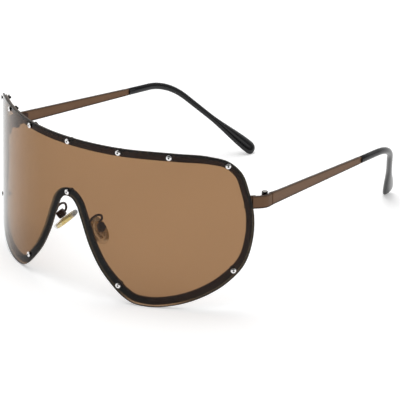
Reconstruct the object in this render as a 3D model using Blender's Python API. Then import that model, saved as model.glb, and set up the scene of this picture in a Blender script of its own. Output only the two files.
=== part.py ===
"""Wraparound shield sunglasses, in metres, standing open as on a table.

One tinted sheet lens is bent round a cylinder and screwed to a metal rim
behind it. The wearer looks towards -Y, and the wearer's left is +X. Each
function models one kind of piece for the +X side, and side = -1 mirrors it.
"""

import math

import bmesh
import bpy
from mathutils import Matrix, Vector
from mathutils.geometry import delaunay_2d_cdt

# Fits
SEAT_GAP = 0.0003  # between pieces that lie on each other
BORE_GAP = 0.0002  # round a pin in its hole
OVERRUN = 0.0010  # how far a cutter passes the face it cuts

# Lens: a sheet on an upright cylinder that leans back a little
LENS_RADIUS = 0.0817
LENS_HALF_ARC = 0.0775  # centre line to outer side, along the curve
LENS_HEIGHT = 0.0643
LENS_THICKNESS = 0.0008
LENS_TILT = math.radians(1.8)
LOBE_ARC = 0.0356  # centre line to the lowest point of a lobe
ARCH_HEIGHT = 0.0394  # lowest point of a lobe to the top of the nose arch
FACET_ARC = 0.0043  # width of one flat of the curved sheet
OUTLINE_STEPS = 3

# Right half of the outline, clockwise from the top centre: first in shares
# of LENS_HALF_ARC and LENS_HEIGHT, then of LOBE_ARC and ARCH_HEIGHT
OUTER_SHARES = (
    (0.0, 0.994), (0.30, 0.995), (0.60, 1.0), (0.77, 0.988), (0.868, 0.953),
    (0.93, 0.885), (0.971, 0.76), (1.0, 0.60), (0.996, 0.45), (0.956, 0.293),
    (0.87, 0.178), (0.742, 0.082), (0.60, 0.022), (0.459, 0.0),
)
NOSE_SHARES = (
    (0.83, 0.021), (0.713, 0.08), (0.591, 0.178), (0.466, 0.299), (0.309, 0.53),
    (0.175, 0.825), (0.12, 0.935), (0.058, 0.988), (0.0, 1.0),
)

# Rim: a flat band that follows the lens outline behind it
RIM_INSET = 0.0006
RIM_WIDTH = 0.00305
RIM_THICKNESS = 0.0008

# Width of the rim along the half outline, in shares of both: it is slimmer at
# the outer side and over the nose
RIM_WIDTH_SHARES = (
    (0.0, 1.0), (0.24, 1.0), (0.33, 0.79), (0.50, 0.79), (0.58, 1.0), (0.78, 1.0),
    (0.90, 0.80), (1.0, 0.75),
)

# Lens screws and nuts: along the half outline from the top centre to the
# nose arch, then across the rim from its outer edge
SIDE_SCREW_SHARES = (
    (0.112, 0.38), (0.2095, 0.38), (0.320, 0.38), (0.547, 0.58), (0.7915, 0.58),
)
SIDE_SCREW_NAMES = ("top_inner", "top_middle", "top_outer", "bottom_outer", "bottom_inner")
CENTRE_SCREW_SHARES = ((0.0, 0.40), (1.0, 0.50))
CENTRE_SCREW_NAMES = ("top_centre", "nose")
SHANK_RADIUS = 0.0005
HEAD_RADIUS = 0.0011
HEAD_HEIGHT = 0.0005
NUT_ACROSS_FLATS = 0.0019
NUT_HEIGHT = 0.0007
SHANK_END = 0.0006  # how far the shank shows behind its nut
SCREW_SIDES = 12

# Hinge seam, at the middle of the strip where endpiece and temple meet
SEAM_OUTWARD = 0.00161  # from the lens's outer edge at that height
SEAM_BEHIND = 0.00799
SEAM_HEIGHT = 0.0428

# Endpiece and temple strip
STRIP_THICKNESS = 0.0013
STRIP_CHAMFER = 0.0003
ENDPIECE_ROOT_HEIGHT = 0.0051
SEAM_STRIP_HEIGHT = 0.0050
ENDPIECE_OVERLAP = 0.0036  # how far its thin lap reaches in behind the rim
LAP_THICKNESS = 0.0008
ENDPIECE_CORNER = 0.0034  # corner of its bend to the seam
ENDPIECE_BEND = 0.0020  # corner to either end of the bend
TEMPLE_LENGTH = 0.0654
TEMPLE_END_HEIGHT = 0.0029
TEMPLE_INWARD = math.radians(4.75)
TEMPLE_DROP = math.radians(4.05)
CORE_RADIUS = 0.00055
CORE_REACH_SHARE = 0.52  # of the tip's length

# Temple tip: a sleeve that goes on in line, bends down and in, and widens
TIP_RUN = 0.0237  # seam of the sleeve to the corner of the bend
TIP_BEND_RADIUS = 0.026
TIP_INWARD = math.radians(36.4)
TIP_DROP = math.radians(42.1)
TIP_TWIST = math.radians(13)  # of the paddle against the root
TIP_ROOT_WIDTH = 0.0031
TIP_ROOT_THICKNESS = 0.0025
TIP_NECK_WIDTH = 0.0026
TIP_NECK_THICKNESS = 0.0024
PADDLE_WIDTH = 0.0062
PADDLE_THICKNESS = 0.0028
PADDLE_LENGTH = 0.0280  # from where the sleeve starts to widen to its end
PADDLE_ROUND = 0.0038  # length of the rounded end
PADDLE_BLUNTNESS = 2.6  # 2 rounds it like an ellipse
TIP_SIDES = 12
TIP_STEPS = 22
BEND_STEPS = 8

# Hinge: two barrels on the endpiece and one on the temple
BARREL_RADIUS = 0.00125
BARREL_BORE = 0.0007
LEAF_THICKNESS = 0.00045
HINGE_HEIGHT = 0.0046
AXIS_AHEAD = 0.0011  # hinge axis in front of the seam
TEMPLE_LEAF_LENGTH = 0.0060
TEMPLE_LEAF_END_HEIGHT = 0.0040
HINGE_HEAD_RADIUS = 0.0012
HINGE_HEAD_HEIGHT = 0.0005
BARREL_SIDES = 16

# Nose pads, given at the pivot of the pad in its box
ARM_SHARE = 0.925  # of the half outline, where the arm stands on the rim
ARM_RADIUS = 0.00045
ARM_SIDES = 8
ARM_BULGE_BACK = 0.0038
ARM_BULGE_UP = 0.0030
ARM_BULGE_OUTWARD = 0.0004
ARM_STEPS = 4
ARM_ROUTE_SHARES = (
    (0.22, 0.16, 0.62, 0.4), (0.50, 0.40, 0.93, 0.9), (0.80, 0.52, 0.75, 1.0),
    (0.93, 0.40, 0.40, 0.6),
)  # along the straight line, then of the bulge back, up and outward
PIVOT_HALF_SPACING = 0.0104
PIVOT_SETBACK = 0.0090
PIVOT_HEIGHT = 0.0264
PAD_SPLAY = math.radians(49)
PAD_TURN = math.radians(24)
PAD_LENGTH = 0.0125
PAD_WIDTH = 0.0065
PAD_THICKNESS = 0.0023
PAD_SIDES = 20
BOX_LENGTH = 0.0034
BOX_WALL = 0.0006
BOX_DEPTH = 0.0030
BOX_FLOOR_DEPTH = 0.0006
BOX_ROUND = 0.0007
BOX_MOUTH = 0.0011  # from the pivot to the open face
LUG_RADIUS = 0.0009
LUG_THICKNESS = 0.0010
INSERT_LENGTH = 0.0074
INSERT_WIDTH = 0.0032
INSERT_THICKNESS = 0.0006
INSERT_CLEARANCE = 0.0006  # box mouth to the plate
PAD_CLEARANCE = 0.0005  # box mouth to the back of the pad
PAD_SCREW_RADIUS = 0.00035
PAD_HEAD_RADIUS = 0.0007
PAD_HEAD_HEIGHT = 0.0004
PAD_SCREW_SIDES = 10

UP = Vector((0, 0, 1))
SIDEWAYS = Vector((1, 0, 0))
SIDES = (("left", 1), ("right", -1))

# Where things lie behind the front of the lens
RIM_FRONT = LENS_THICKNESS + SEAT_GAP
RIM_BACK = RIM_FRONT + RIM_THICKNESS
NUT_FRONT = RIM_BACK + SEAT_GAP
NUT_BACK = NUT_FRONT + NUT_HEIGHT


def clear_scene():
    for obj in list(bpy.data.objects):
        bpy.data.objects.remove(obj, do_unlink=True)


def material(name, colour, roughness, metallic, transmission=0.0):
    """A plain finish in the photographed colour."""
    mat = bpy.data.materials.new(name)
    mat.use_nodes = True
    shader = mat.node_tree.nodes["Principled BSDF"]
    shader.inputs["Base Color"].default_value = (*colour, 1)
    shader.inputs["Roughness"].default_value = roughness
    shader.inputs["Metallic"].default_value = metallic
    shader.inputs["Transmission Weight"].default_value = transmission
    mat.diffuse_color = (*colour, 1)
    return mat


def add_solid(name, points, faces, finish, side=1, origin=Vector()):
    """One closed body, mirrored for the other side, with its origin where it turns."""
    mirror = Vector((side, 1, 1))
    mesh = bpy.data.meshes.new(name)
    mesh.from_pydata([(p - origin) * mirror for p in points], [], faces)
    work = bmesh.new()
    work.from_mesh(mesh)
    bmesh.ops.recalc_face_normals(work, faces=work.faces)
    work.to_mesh(mesh)
    work.free()
    mesh.shade_smooth()
    mesh.set_sharp_from_angle(angle=math.radians(35))
    mesh.materials.append(finish)
    obj = bpy.data.objects.new(name, mesh)
    obj.location = origin * mirror
    bpy.context.collection.objects.link(obj)
    return obj


def skin(rings, closed=False):
    """Points and faces over a row of rings; a ring of one point is a pole."""
    points = [p for ring in rings for p in ring]
    starts = [sum(len(ring) for ring in rings[:i]) for i in range(len(rings))]
    faces = []
    pairs = list(zip(range(len(rings)), range(1, len(rings))))
    if closed:
        pairs.append((len(rings) - 1, 0))
    for a, b in pairs:
        count = max(len(rings[a]), len(rings[b]))
        for i in range(count):
            j = (i + 1) % count
            low = [starts[a] + k for k in ((i, j) if len(rings[a]) > 1 else (0,))]
            high = [starts[b] + k for k in ((j, i) if len(rings[b]) > 1 else (0,))]
            faces.append(low + high)
    if not closed:
        for i in (0, len(rings) - 1):
            if len(rings[i]) > 1:
                faces.append([starts[i] + k for k in range(len(rings[i]))])
    return points, faces


def smooth_curve(points, steps, first=None, last=None):
    """Points along a cubic curve that passes through the given points."""
    spans = [(b - a).length for a, b in zip(points, points[1:])]
    chords = [(b - a) / d for a, b, d in zip(points, points[1:], spans)]
    slopes = [first or chords[0]]
    for i in range(1, len(points) - 1):
        before = spans[i - 1]
        after = spans[i]
        slopes.append((chords[i - 1] * after + chords[i] * before) / (before + after))
    slopes.append(last or chords[-1])
    curve = []
    for i, d in enumerate(spans):
        for k in range(steps):
            t = k / steps
            start = points[i] * (2 * t**3 - 3 * t**2 + 1) + slopes[i] * d * (t**3 - 2 * t**2 + t)
            end = points[i + 1] * (3 * t**2 - 2 * t**3) + slopes[i + 1] * d * (t**3 - t**2)
            curve.append(start + end)
    return curve + [points[-1]]


def smooth_step(t):
    t = min(max(t, 0), 1)
    return t * t * (3 - 2 * t)


def along(route, share):
    """Point at a share of a route's length."""
    spans = [(b - a).length for a, b in zip(route, route[1:])]
    left = share * sum(spans)
    i = 0
    while i < len(spans) - 1 and left > spans[i]:
        left -= spans[i]
        i += 1
    return route[i].lerp(route[i + 1], left / spans[i])


def sweep(route, section):
    """Rings square to a route; section(i) gives offsets sideways and upwards."""
    rings = []
    for i, p in enumerate(route):
        before = route[max(i - 1, 0)]
        after = route[min(i + 1, len(route) - 1)]
        ahead = (after - before).normalized()
        across = (SIDEWAYS - ahead * SIDEWAYS.dot(ahead)).normalized()
        upward = across.cross(ahead)
        rings.append([p + across * a + upward * b for a, b in section(i)])
    return rings


def chamfered(thickness, height, chamfer):
    """Eight corners of a strip's section."""
    a = thickness / 2
    b = height / 2
    quarter = ((a, b - chamfer), (a - chamfer, b))
    top = quarter + tuple((-x, y) for x, y in reversed(quarter))
    return top + tuple((-x, -y) for x, y in top)


def oval(width, height, sides):
    turns = [math.tau * (i + 0.5) / sides for i in range(sides)]
    return [(width / 2 * math.cos(t), height / 2 * math.sin(t)) for t in turns]


def frame_on(axis):
    """Two directions square to an axis, turned alike on both sides."""
    first = axis.cross(SIDEWAYS if abs(axis.x) < 0.9 else UP).normalized()
    return first, axis.cross(first)


def turned(base, axis, profile, sides, phase=0.0):
    """Rings of a turned piece; profile gives radius and height along the axis."""
    first, second = frame_on(axis)
    rings = []
    for radius, height in profile:
        centre = base + axis * height
        if radius == 0:
            rings.append([centre])
            continue
        turns = [math.tau * i / sides + phase for i in range(sides)]
        rings.append(
            [centre + (first * math.cos(t) + second * math.sin(t)) * radius for t in turns]
        )
    return rings


# The curved sheet


def on_lens(arc, height, depth=0.0):
    """Point at an arc length and a height, at a depth behind the lens's front."""
    turn = arc / LENS_RADIUS
    reach = LENS_RADIUS - depth
    back = LENS_RADIUS - reach * math.cos(turn)
    lean = Matrix.Rotation(-LENS_TILT, 3, "X")
    return lean @ Vector((reach * math.sin(turn), back, height))


def outward_from_lens(arc):
    """Direction square to the lens, away from the wearer."""
    turn = arc / LENS_RADIUS
    lean = Matrix.Rotation(-LENS_TILT, 3, "X")
    return lean @ Vector((math.sin(turn), -math.cos(turn), 0))


def half_outline():
    """Right half of the lens outline, flat, as (arc, height, 0)."""
    points = [Vector((a * LENS_HALF_ARC, h * LENS_HEIGHT, 0)) for a, h in OUTER_SHARES]
    points += [Vector((a * LOBE_ARC, h * ARCH_HEIGHT, 0)) for a, h in NOSE_SHARES]
    return smooth_curve(points, OUTLINE_STEPS, SIDEWAYS, -SIDEWAYS)


def inset(points, distance):
    """The half outline moved into the sheet."""
    moved = []
    for i, p in enumerate(points):
        before = points[i - 1] if i else Vector((-points[1].x, points[1].y, 0))
        after = points[i + 1] if i < len(points) - 1 else Vector((-points[-2].x, points[-2].y, 0))
        first = (p - before).normalized()
        second = (after - p).normalized()
        normal = (first + second).normalized().cross(UP)
        moved.append(p + normal * distance / normal.dot(first.cross(UP)))
    return moved


def whole_loop(half):
    """Closed outline from its right half, whose ends lie on the centre line."""
    left = [Vector((-p.x, p.y, 0)) for p in reversed(half[1:-1])]
    return half + left


def circle_on_sheet(centre, radius):
    turns = [math.tau * i / SCREW_SIDES for i in range(SCREW_SIDES)]
    return [centre + Vector((math.cos(t), math.sin(t), 0)) * radius for t in turns]


def inside(point, loop):
    """True if a flat point lies within a closed outline."""
    crossings = 0
    for a, b in zip(loop, loop[1:] + loop[:1]):
        if (a.y > point.y) != (b.y > point.y):
            if point.x < a.x + (b.x - a.x) * (point.y - a.y) / (b.y - a.y):
                crossings += 1
    return crossings % 2 == 1


def curved_sheet(name, outline, holes, front, back, finish):
    """A flat outline with holes, cut into upright flats and bent on the cylinder."""
    flat = []
    edges = []
    for loop in [outline] + holes:
        start = len(flat)
        flat += [p.to_2d() for p in loop]
        edges += [(start + i, start + (i + 1) % len(loop)) for i in range(len(loop))]
    lines = int(LENS_HALF_ARC / FACET_ARC)
    for i in range(-lines, lines + 1):
        edges.append((len(flat), len(flat) + 1))
        flat.append(Vector((i * FACET_ARC, -FACET_ARC)))
        flat.append(Vector((i * FACET_ARC, LENS_HEIGHT + FACET_ARC)))
    points, _, triangles, _, _, _ = delaunay_2d_cdt(flat, edges, [], 0, BORE_GAP / 100)
    kept = []
    for triangle in triangles:
        middle = sum((points[i] for i in triangle), Vector((0, 0))) / len(triangle)
        if inside(middle, outline) and not any(inside(middle, hole) for hole in holes):
            kept.append(tuple(triangle))
    used = sorted({i for triangle in kept for i in triangle})
    place = {i: n for n, i in enumerate(used)}
    solid = [on_lens(points[i].x, points[i].y, front) for i in used]
    solid += [on_lens(points[i].x, points[i].y, back) for i in used]
    count = len(used)
    faces = []
    sides = set()
    for triangle in kept:
        a, b, c = (place[i] for i in triangle)
        faces.append((a, b, c))
        faces.append((c + count, b + count, a + count))
        for edge in ((a, b), (b, c), (c, a)):
            if edge[::-1] in sides:
                sides.remove(edge[::-1])
            else:
                sides.add(edge)
    for a, b in sorted(sides):
        faces.append((b, a, a + count, b + count))
    return add_solid(name, solid, faces, finish)


def rim_line(across):
    """Half line along the rim at a share of its width."""
    half = half_outline()
    outer = inset(half, RIM_INSET)
    inner = inset(half, RIM_INSET + RIM_WIDTH)
    spans = distances(half, half[-1])
    line = []
    for a, b, left in zip(outer, inner, spans):
        line.append(a.lerp(b, across * rim_width_share(1 - left / spans[0])))
    return line


def rim_width_share(share):
    """Width of the rim at a share of the half outline, as a share of RIM_WIDTH."""
    for (s, a), (t, b) in zip(RIM_WIDTH_SHARES, RIM_WIDTH_SHARES[1:]):
        if share <= t:
            return a + (b - a) * smooth_step((share - s) / (t - s))
    return RIM_WIDTH_SHARES[-1][1]


def screw_places():
    """Name and flat place of each lens screw on the rim."""
    places = []
    for name, (share, across) in zip(CENTRE_SCREW_NAMES, CENTRE_SCREW_SHARES):
        places.append((name, along(rim_line(across), share)))
    for name, (share, across) in zip(SIDE_SCREW_NAMES, SIDE_SCREW_SHARES):
        spot = along(rim_line(across), share)
        for label, side in SIDES:
            places.append((name + "_" + label, Vector((spot.x * side, spot.y, 0))))
    return places


def lens_and_rim(lens_finish, rim_finish):
    half = half_outline()
    holes = [circle_on_sheet(p, SHANK_RADIUS + BORE_GAP) for _, p in screw_places()]
    curved_sheet("lens_shield", whole_loop(half), holes, 0.0, LENS_THICKNESS, lens_finish)
    outer = whole_loop(rim_line(0))
    window = whole_loop(rim_line(1))
    curved_band("rim_frame", outer, window, holes, rim_finish)


def curved_band(name, outer, window, holes, finish):
    """The rim is a sheet with one large window."""
    curved_sheet(name, outer, [window] + holes, RIM_FRONT, RIM_BACK, finish)


def lens_fasteners(screw_finish, nut_finish):
    """A dome head screw and a hexagon nut at each hole."""
    head = SEAT_GAP + HEAD_HEIGHT
    end = -(NUT_BACK + SHANK_END)
    screw = [(0, end - SHANK_RADIUS)]
    screw += [(SHANK_RADIUS * 0.7, end - SHANK_RADIUS * 0.7), (SHANK_RADIUS, end)]
    screw += [(SHANK_RADIUS, SEAT_GAP), (HEAD_RADIUS, SEAT_GAP)]
    screw += [(HEAD_RADIUS, SEAT_GAP + HEAD_HEIGHT * 0.3)]
    screw += [(HEAD_RADIUS * 0.62, SEAT_GAP + HEAD_HEIGHT * 0.85), (0, head)]
    bore = SHANK_RADIUS + BORE_GAP
    for name, spot in screw_places():
        base = on_lens(spot.x, spot.y)
        axis = outward_from_lens(spot.x)
        points, faces = skin(turned(base, axis, screw, SCREW_SIDES))
        add_solid("lens_screw_" + name, points, faces, screw_finish)
        first, second = frame_on(axis)
        hexagon = []
        for i in range(SCREW_SIDES):
            turn = math.tau * i / SCREW_SIDES
            reach = NUT_ACROSS_FLATS / 2 / (1 if i % 2 else math.cos(math.pi / 6))
            hexagon.append((first * math.cos(turn) + second * math.sin(turn)) * reach)
        rings = []
        for depth in (NUT_BACK, NUT_FRONT):
            rings.append([base - axis * depth + offset for offset in hexagon])
        rings += turned(base, axis, ((bore, -NUT_FRONT), (bore, -NUT_BACK)), SCREW_SIDES)
        points, faces = skin(rings, closed=True)
        add_solid("lens_nut_" + name, points, faces, nut_finish)


# Endpieces, hinges and temples


def temple_directions():
    """Backwards along the temple, and outwards, both level."""
    back = Vector((-math.sin(TEMPLE_INWARD), math.cos(TEMPLE_INWARD), 0))
    return back, back.cross(UP)


def slanted(inward, drop):
    level = Vector((-math.sin(inward), math.cos(inward), 0))
    return level * math.cos(drop) - UP * math.sin(drop)


def seam():
    edge = on_lens(LENS_HALF_ARC, SEAM_HEIGHT)
    return Vector((edge.x + SEAM_OUTWARD, edge.y + SEAM_BEHIND, SEAM_HEIGHT))


def axis_inward():
    """Middle of the strip to the hinge axis."""
    return STRIP_THICKNESS / 2 + SEAT_GAP + BARREL_RADIUS


def hinge_axis():
    """Middle of the hinge, on its axis."""
    back, out = temple_directions()
    return seam() - out * axis_inward() - back * AXIS_AHEAD


def endpiece_route():
    """Middle line of the strip from the lens's edge to the seam, in plan."""
    back, _ = temple_directions()
    depth = RIM_FRONT + STRIP_THICKNESS / 2
    edge = on_lens(LENS_HALF_ARC, SEAM_HEIGHT, depth)
    edge.z = SEAM_HEIGHT
    corner = seam() - back * ENDPIECE_CORNER
    enter = corner + (edge - corner).normalized() * ENDPIECE_BEND
    leave = corner + back * ENDPIECE_BEND
    bend = []
    for i in range(BEND_STEPS + 1):
        t = i / BEND_STEPS
        bend.append(enter.lerp(corner, t).lerp(corner.lerp(leave, t), t))
    return edge, bend, seam() - back * SEAT_GAP / 2


def endpiece(finish, side, label):
    """Strip that laps the rim's back, leaves beside its outer edge and bends back."""
    edge, bend, end = endpiece_route()
    root = on_lens(LENS_HALF_ARC - ENDPIECE_OVERLAP, SEAM_HEIGHT, RIM_FRONT + STRIP_THICKNESS / 2)
    root.z = SEAM_HEIGHT
    step = edge + (edge - root).normalized() * STRIP_CHAMFER / 2
    route = [root, edge, step] + bend + [end]
    lap_front = RIM_FRONT + STRIP_THICKNESS / 2 - NUT_FRONT
    lap_back = lap_front - LAP_THICKNESS
    half = STRIP_THICKNESS / 2
    faces_at = [(lap_front, lap_back), (lap_front, lap_back), (half, lap_back)]

    def section(i):
        share = smooth_step(i / len(route))
        high = ENDPIECE_ROOT_HEIGHT + (SEAM_STRIP_HEIGHT - ENDPIECE_ROOT_HEIGHT) * share
        front, rear = faces_at[i] if i < len(faces_at) else (half, -half)
        middle = (front + rear) / 2
        corners = chamfered(front - rear, high, STRIP_CHAMFER)
        return [(a + middle, b) for a, b in corners]

    points, faces = skin(sweep(route, section))
    add_solid("endpiece_" + label, points, faces, finish, side)


def tip_route():
    """Middle line of the temple tip, from the temple's end to the floor."""
    ahead = slanted(TEMPLE_INWARD, TEMPLE_DROP)
    down = slanted(TIP_INWARD, TIP_DROP)
    start = seam() + ahead * TEMPLE_LENGTH
    corner = start + ahead * TIP_RUN
    half_turn = ahead.angle(down) / 2
    cut = TIP_BEND_RADIUS * math.tan(half_turn)
    enter = corner - ahead * cut
    leave = corner + down * cut
    centre = corner + (down - ahead).normalized() * TIP_BEND_RADIUS / math.cos(half_turn)
    bend = []
    for i in range(BEND_STEPS + 1):
        chord = enter.lerp(leave, i / BEND_STEPS)
        bend.append(centre + (chord - centre).normalized() * TIP_BEND_RADIUS)
    return start, bend, down


def tip_rings(route, distance_left):
    """Sections of the sleeve: root, neck, then the paddle with its round end."""
    total = distance_left[0]

    def section(i):
        left = distance_left[i]
        widen = smooth_step(1 - (left - PADDLE_ROUND) / (PADDLE_LENGTH - PADDLE_ROUND))
        narrow = smooth_step((total - left) / (total - PADDLE_LENGTH))
        wide = TIP_ROOT_WIDTH + (TIP_NECK_WIDTH - TIP_ROOT_WIDTH) * narrow
        wide += (PADDLE_WIDTH - wide) * widen
        thick = TIP_ROOT_THICKNESS + (TIP_NECK_THICKNESS - TIP_ROOT_THICKNESS) * narrow
        thick += (PADDLE_THICKNESS - thick) * widen
        end = max(0, 1 - left / PADDLE_ROUND)
        round_off = (1 - end**PADDLE_BLUNTNESS) ** (1 / PADDLE_BLUNTNESS)
        cos, sin = math.cos(TIP_TWIST * narrow), math.sin(TIP_TWIST * narrow)
        ring = oval(thick * round_off, wide * round_off, TIP_SIDES)
        return [(a * cos + b * sin, b * cos - a * sin) for a, b in ring]

    return sweep(route, section)


def tip_line(length):
    """Points of the tip's middle line for a length of its dropping run."""
    start, bend, down = tip_route()
    ahead = (bend[0] - start).normalized()
    root = start + ahead * SEAT_GAP
    line = [root, root.lerp(bend[0], 0.5)] + bend
    straight = length - PADDLE_ROUND
    runs = TIP_STEPS - len(line) - 4
    line += [bend[-1] + down * straight * i / runs for i in range(1, runs + 1)]
    for share in (0.35, 0.65, 0.85, 0.97):
        line.append(bend[-1] + down * (straight + PADDLE_ROUND * share))
    return line, bend[-1] + down * length


def distances(line, end):
    """Distance left from each point to the end of the line."""
    left = [(end - line[-1]).length]
    for a, b in zip(line[-2::-1], line[:0:-1]):
        left.append(left[-1] + (b - a).length)
    return left[::-1]


def tip_shape():
    """The sleeve's line and sections, its drop just long enough for the floor."""
    _, bend, down = tip_route()
    floor = lens_floor()
    length = (bend[-1].z - floor) / -down.z
    for _ in range(2):
        line, end = tip_line(length)
        rings = tip_rings(line, distances(line, end))
        low = min(p.z for ring in rings for p in ring)
        length -= (floor - low) / -down.z
    return line, end, rings


def lens_floor():
    """Lowest height of the lens, where its two lobes stand."""
    return min(
        on_lens(p.x, p.y, depth).z for p in half_outline() for depth in (0, LENS_THICKNESS)
    )


def core_line(share, line, end):
    """The stretch of the tip's line that the metal core fills."""
    limit = share * distances(line, end)[0]
    gone = 0
    points = [line[0]]
    for a, b in zip(line, line[1:]):
        gone += (b - a).length
        if gone > limit:
            break
        points.append(b)
    return points


def temple_and_tip(metal, plastic, side, label):
    axis = hinge_axis()
    back, _ = temple_directions()
    ahead = slanted(TEMPLE_INWARD, TEMPLE_DROP)
    line, end, outer = tip_shape()
    core = core_line(CORE_REACH_SHARE, line, end)
    bore = core_line(CORE_REACH_SHARE, line, end)
    bore[-1] = bore[-1] + (bore[-1] - bore[-2]).normalized() * SEAT_GAP
    bore_radius = CORE_RADIUS + BORE_GAP
    hollow = sweep(bore, lambda i: oval(2 * bore_radius, 2 * bore_radius, TIP_SIDES))
    rings = [[bore[-1]]] + hollow[::-1] + outer + [[end]]
    points, faces = skin(rings)
    add_solid("temple_tip_" + label, points, faces, plastic, side, axis)

    start = seam() + back * SEAT_GAP / 2
    joint = seam() + ahead * TEMPLE_LENGTH
    square = start + back * STRIP_THICKNESS
    strip = [start, square, square.lerp(joint, 0.5), joint]
    middle_height = (SEAM_STRIP_HEIGHT + TEMPLE_END_HEIGHT) / 2
    heights = (SEAM_STRIP_HEIGHT, SEAM_STRIP_HEIGHT, middle_height, TEMPLE_END_HEIGHT)
    body = sweep(strip, lambda i: chamfered(STRIP_THICKNESS, heights[i], STRIP_CHAMFER))
    wire = sweep([joint] + core, lambda i: oval(2 * CORE_RADIUS, 2 * CORE_RADIUS, 8))
    points, faces = skin(body + wire)
    add_solid("temple_" + label, points, faces, metal, side, axis)


def join(target, other):
    """Union of two solids; the second stays as a hidden guide."""
    union = target.modifiers.new("join_" + other.name, "BOOLEAN")
    union.operation = "UNION"
    union.solver = "EXACT"
    union.object = other
    hide(other)


def cut(target, other):
    """One solid cut from another; the cutter stays hidden."""
    difference = target.modifiers.new("cut_" + other.name, "BOOLEAN")
    difference.operation = "DIFFERENCE"
    difference.solver = "EXACT"
    difference.object = other
    hide(other)


def hide(obj):
    obj.hide_render = True
    obj.display_type = "WIRE"


def on_axis(name, rings, finish, side, closed=False):
    points, faces = skin(rings, closed)
    return add_solid(name, points, faces, finish, side, hinge_axis())


def barrel(name, low, high, finish, side):
    """A hinge barrel between two heights above the middle of the hinge."""
    profile = ((BARREL_RADIUS, low), (BARREL_RADIUS, high), (BARREL_BORE, high), (BARREL_BORE, low))
    rings = turned(hinge_axis(), UP, profile, BARREL_SIDES)
    return on_axis(name, rings, finish, side, closed=True)


def clearance(name, low, high, finish, side):
    """A round cutter that frees the turning barrel of the other half."""
    reach = BARREL_RADIUS + SEAT_GAP
    rings = turned(hinge_axis(), UP, ((reach, low), (reach, high)), BARREL_SIDES)
    return on_axis(name, rings, finish, side)


def leaf(name, route, heights, finish, side):
    """A thin plate that runs beside a strip, on its inner side."""
    outer = BARREL_RADIUS - BORE_GAP / 4
    middle = outer - LEAF_THICKNESS / 2 - axis_inward()

    def section(i):
        corners = chamfered(LEAF_THICKNESS, heights[i], LEAF_THICKNESS / 4)
        return [(a + middle, b) for a, b in corners]

    return on_axis(name, sweep(route, section), finish, side)


def hinge_halves(finish, side, label):
    """Leaves and barrels: two barrels on the endpiece, one on the temple."""
    back, _ = temple_directions()
    half = HINGE_HEIGHT / 2
    knuckle = (HINGE_HEIGHT - 2 * SEAT_GAP) / 3
    beside_axis = seam() - back * AXIS_AHEAD
    _, bend, _ = endpiece_route()

    route = bend + [beside_axis]
    front = leaf("front_hinge_" + label, route, [HINGE_HEIGHT] * len(route), finish, side)
    free = knuckle / 2 + SEAT_GAP
    cut(front, clearance("middle_space_" + label, -free, free, finish, side))
    join(front, barrel("lower_barrel_" + label, -half, knuckle - half, finish, side))
    join(front, barrel("upper_barrel_" + label, half - knuckle, half, finish, side))

    slope = slanted(TEMPLE_INWARD, TEMPLE_DROP)
    past_barrel = beside_axis + back * (BARREL_RADIUS + 2 * SEAT_GAP)
    route = [beside_axis, past_barrel, seam() + slope * TEMPLE_LEAF_LENGTH]
    heights = [HINGE_HEIGHT, HINGE_HEIGHT, TEMPLE_LEAF_END_HEIGHT]
    rear = leaf("temple_hinge_" + label, route, heights, finish, side)
    edge = knuckle / 2
    far = half + OVERRUN
    cut(rear, clearance("lower_space_" + label, -far, -edge, finish, side))
    cut(rear, clearance("upper_space_" + label, edge, far, finish, side))
    join(rear, barrel("middle_barrel_" + label, -edge, edge, finish, side))


def hinge_screw(finish, side, label):
    """Pin with a slotted cheese head on the upper barrel."""
    axis = hinge_axis()
    radius = BARREL_BORE - BORE_GAP
    low = -HINGE_HEIGHT / 2
    seat = HINGE_HEIGHT / 2 + SEAT_GAP
    profile = [(0, low), (radius, low + radius * 0.4), (radius, seat)]
    profile += [(HINGE_HEAD_RADIUS, seat), (HINGE_HEAD_RADIUS, seat + HINGE_HEAD_HEIGHT * 0.7)]
    profile += [(HINGE_HEAD_RADIUS * 0.75, seat + HINGE_HEAD_HEIGHT), (0, seat + HINGE_HEAD_HEIGHT)]
    points, faces = skin(turned(axis, UP, profile, SCREW_SIDES))
    add_solid("hinge_screw_" + label, points, faces, finish, side, axis)


# Nose pads


def pad_pivot():
    return Vector((PIVOT_HALF_SPACING, PIVOT_SETBACK, PIVOT_HEIGHT))


def pad_directions():
    """Down the pad's length, out of its face, and along its pivot."""
    turn = Matrix.Rotation(-PAD_TURN, 3, "Z") @ Matrix.Rotation(-PAD_SPLAY, 3, "Y")
    length = turn @ Vector((0, 0, -1))
    face = turn @ Vector((-1, 0, 0))
    return length, face, length.cross(face)


def pad_point(down, out, across):
    """Point given from the pivot: along the pad, out of its face, along its pivot."""
    length, face, pivot = pad_directions()
    return pad_pivot() + length * down + face * out + pivot * across


def pad_oval(length, width, out, sides, taper=0.16):
    """A drop-shaped ring at a distance out of the pivot, wider at the bottom."""
    ring = []
    for a, b in oval(length, width, sides):
        ring.append(pad_point(a, out, b * (1 + taper * 2 * a / length)))
    return ring


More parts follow.
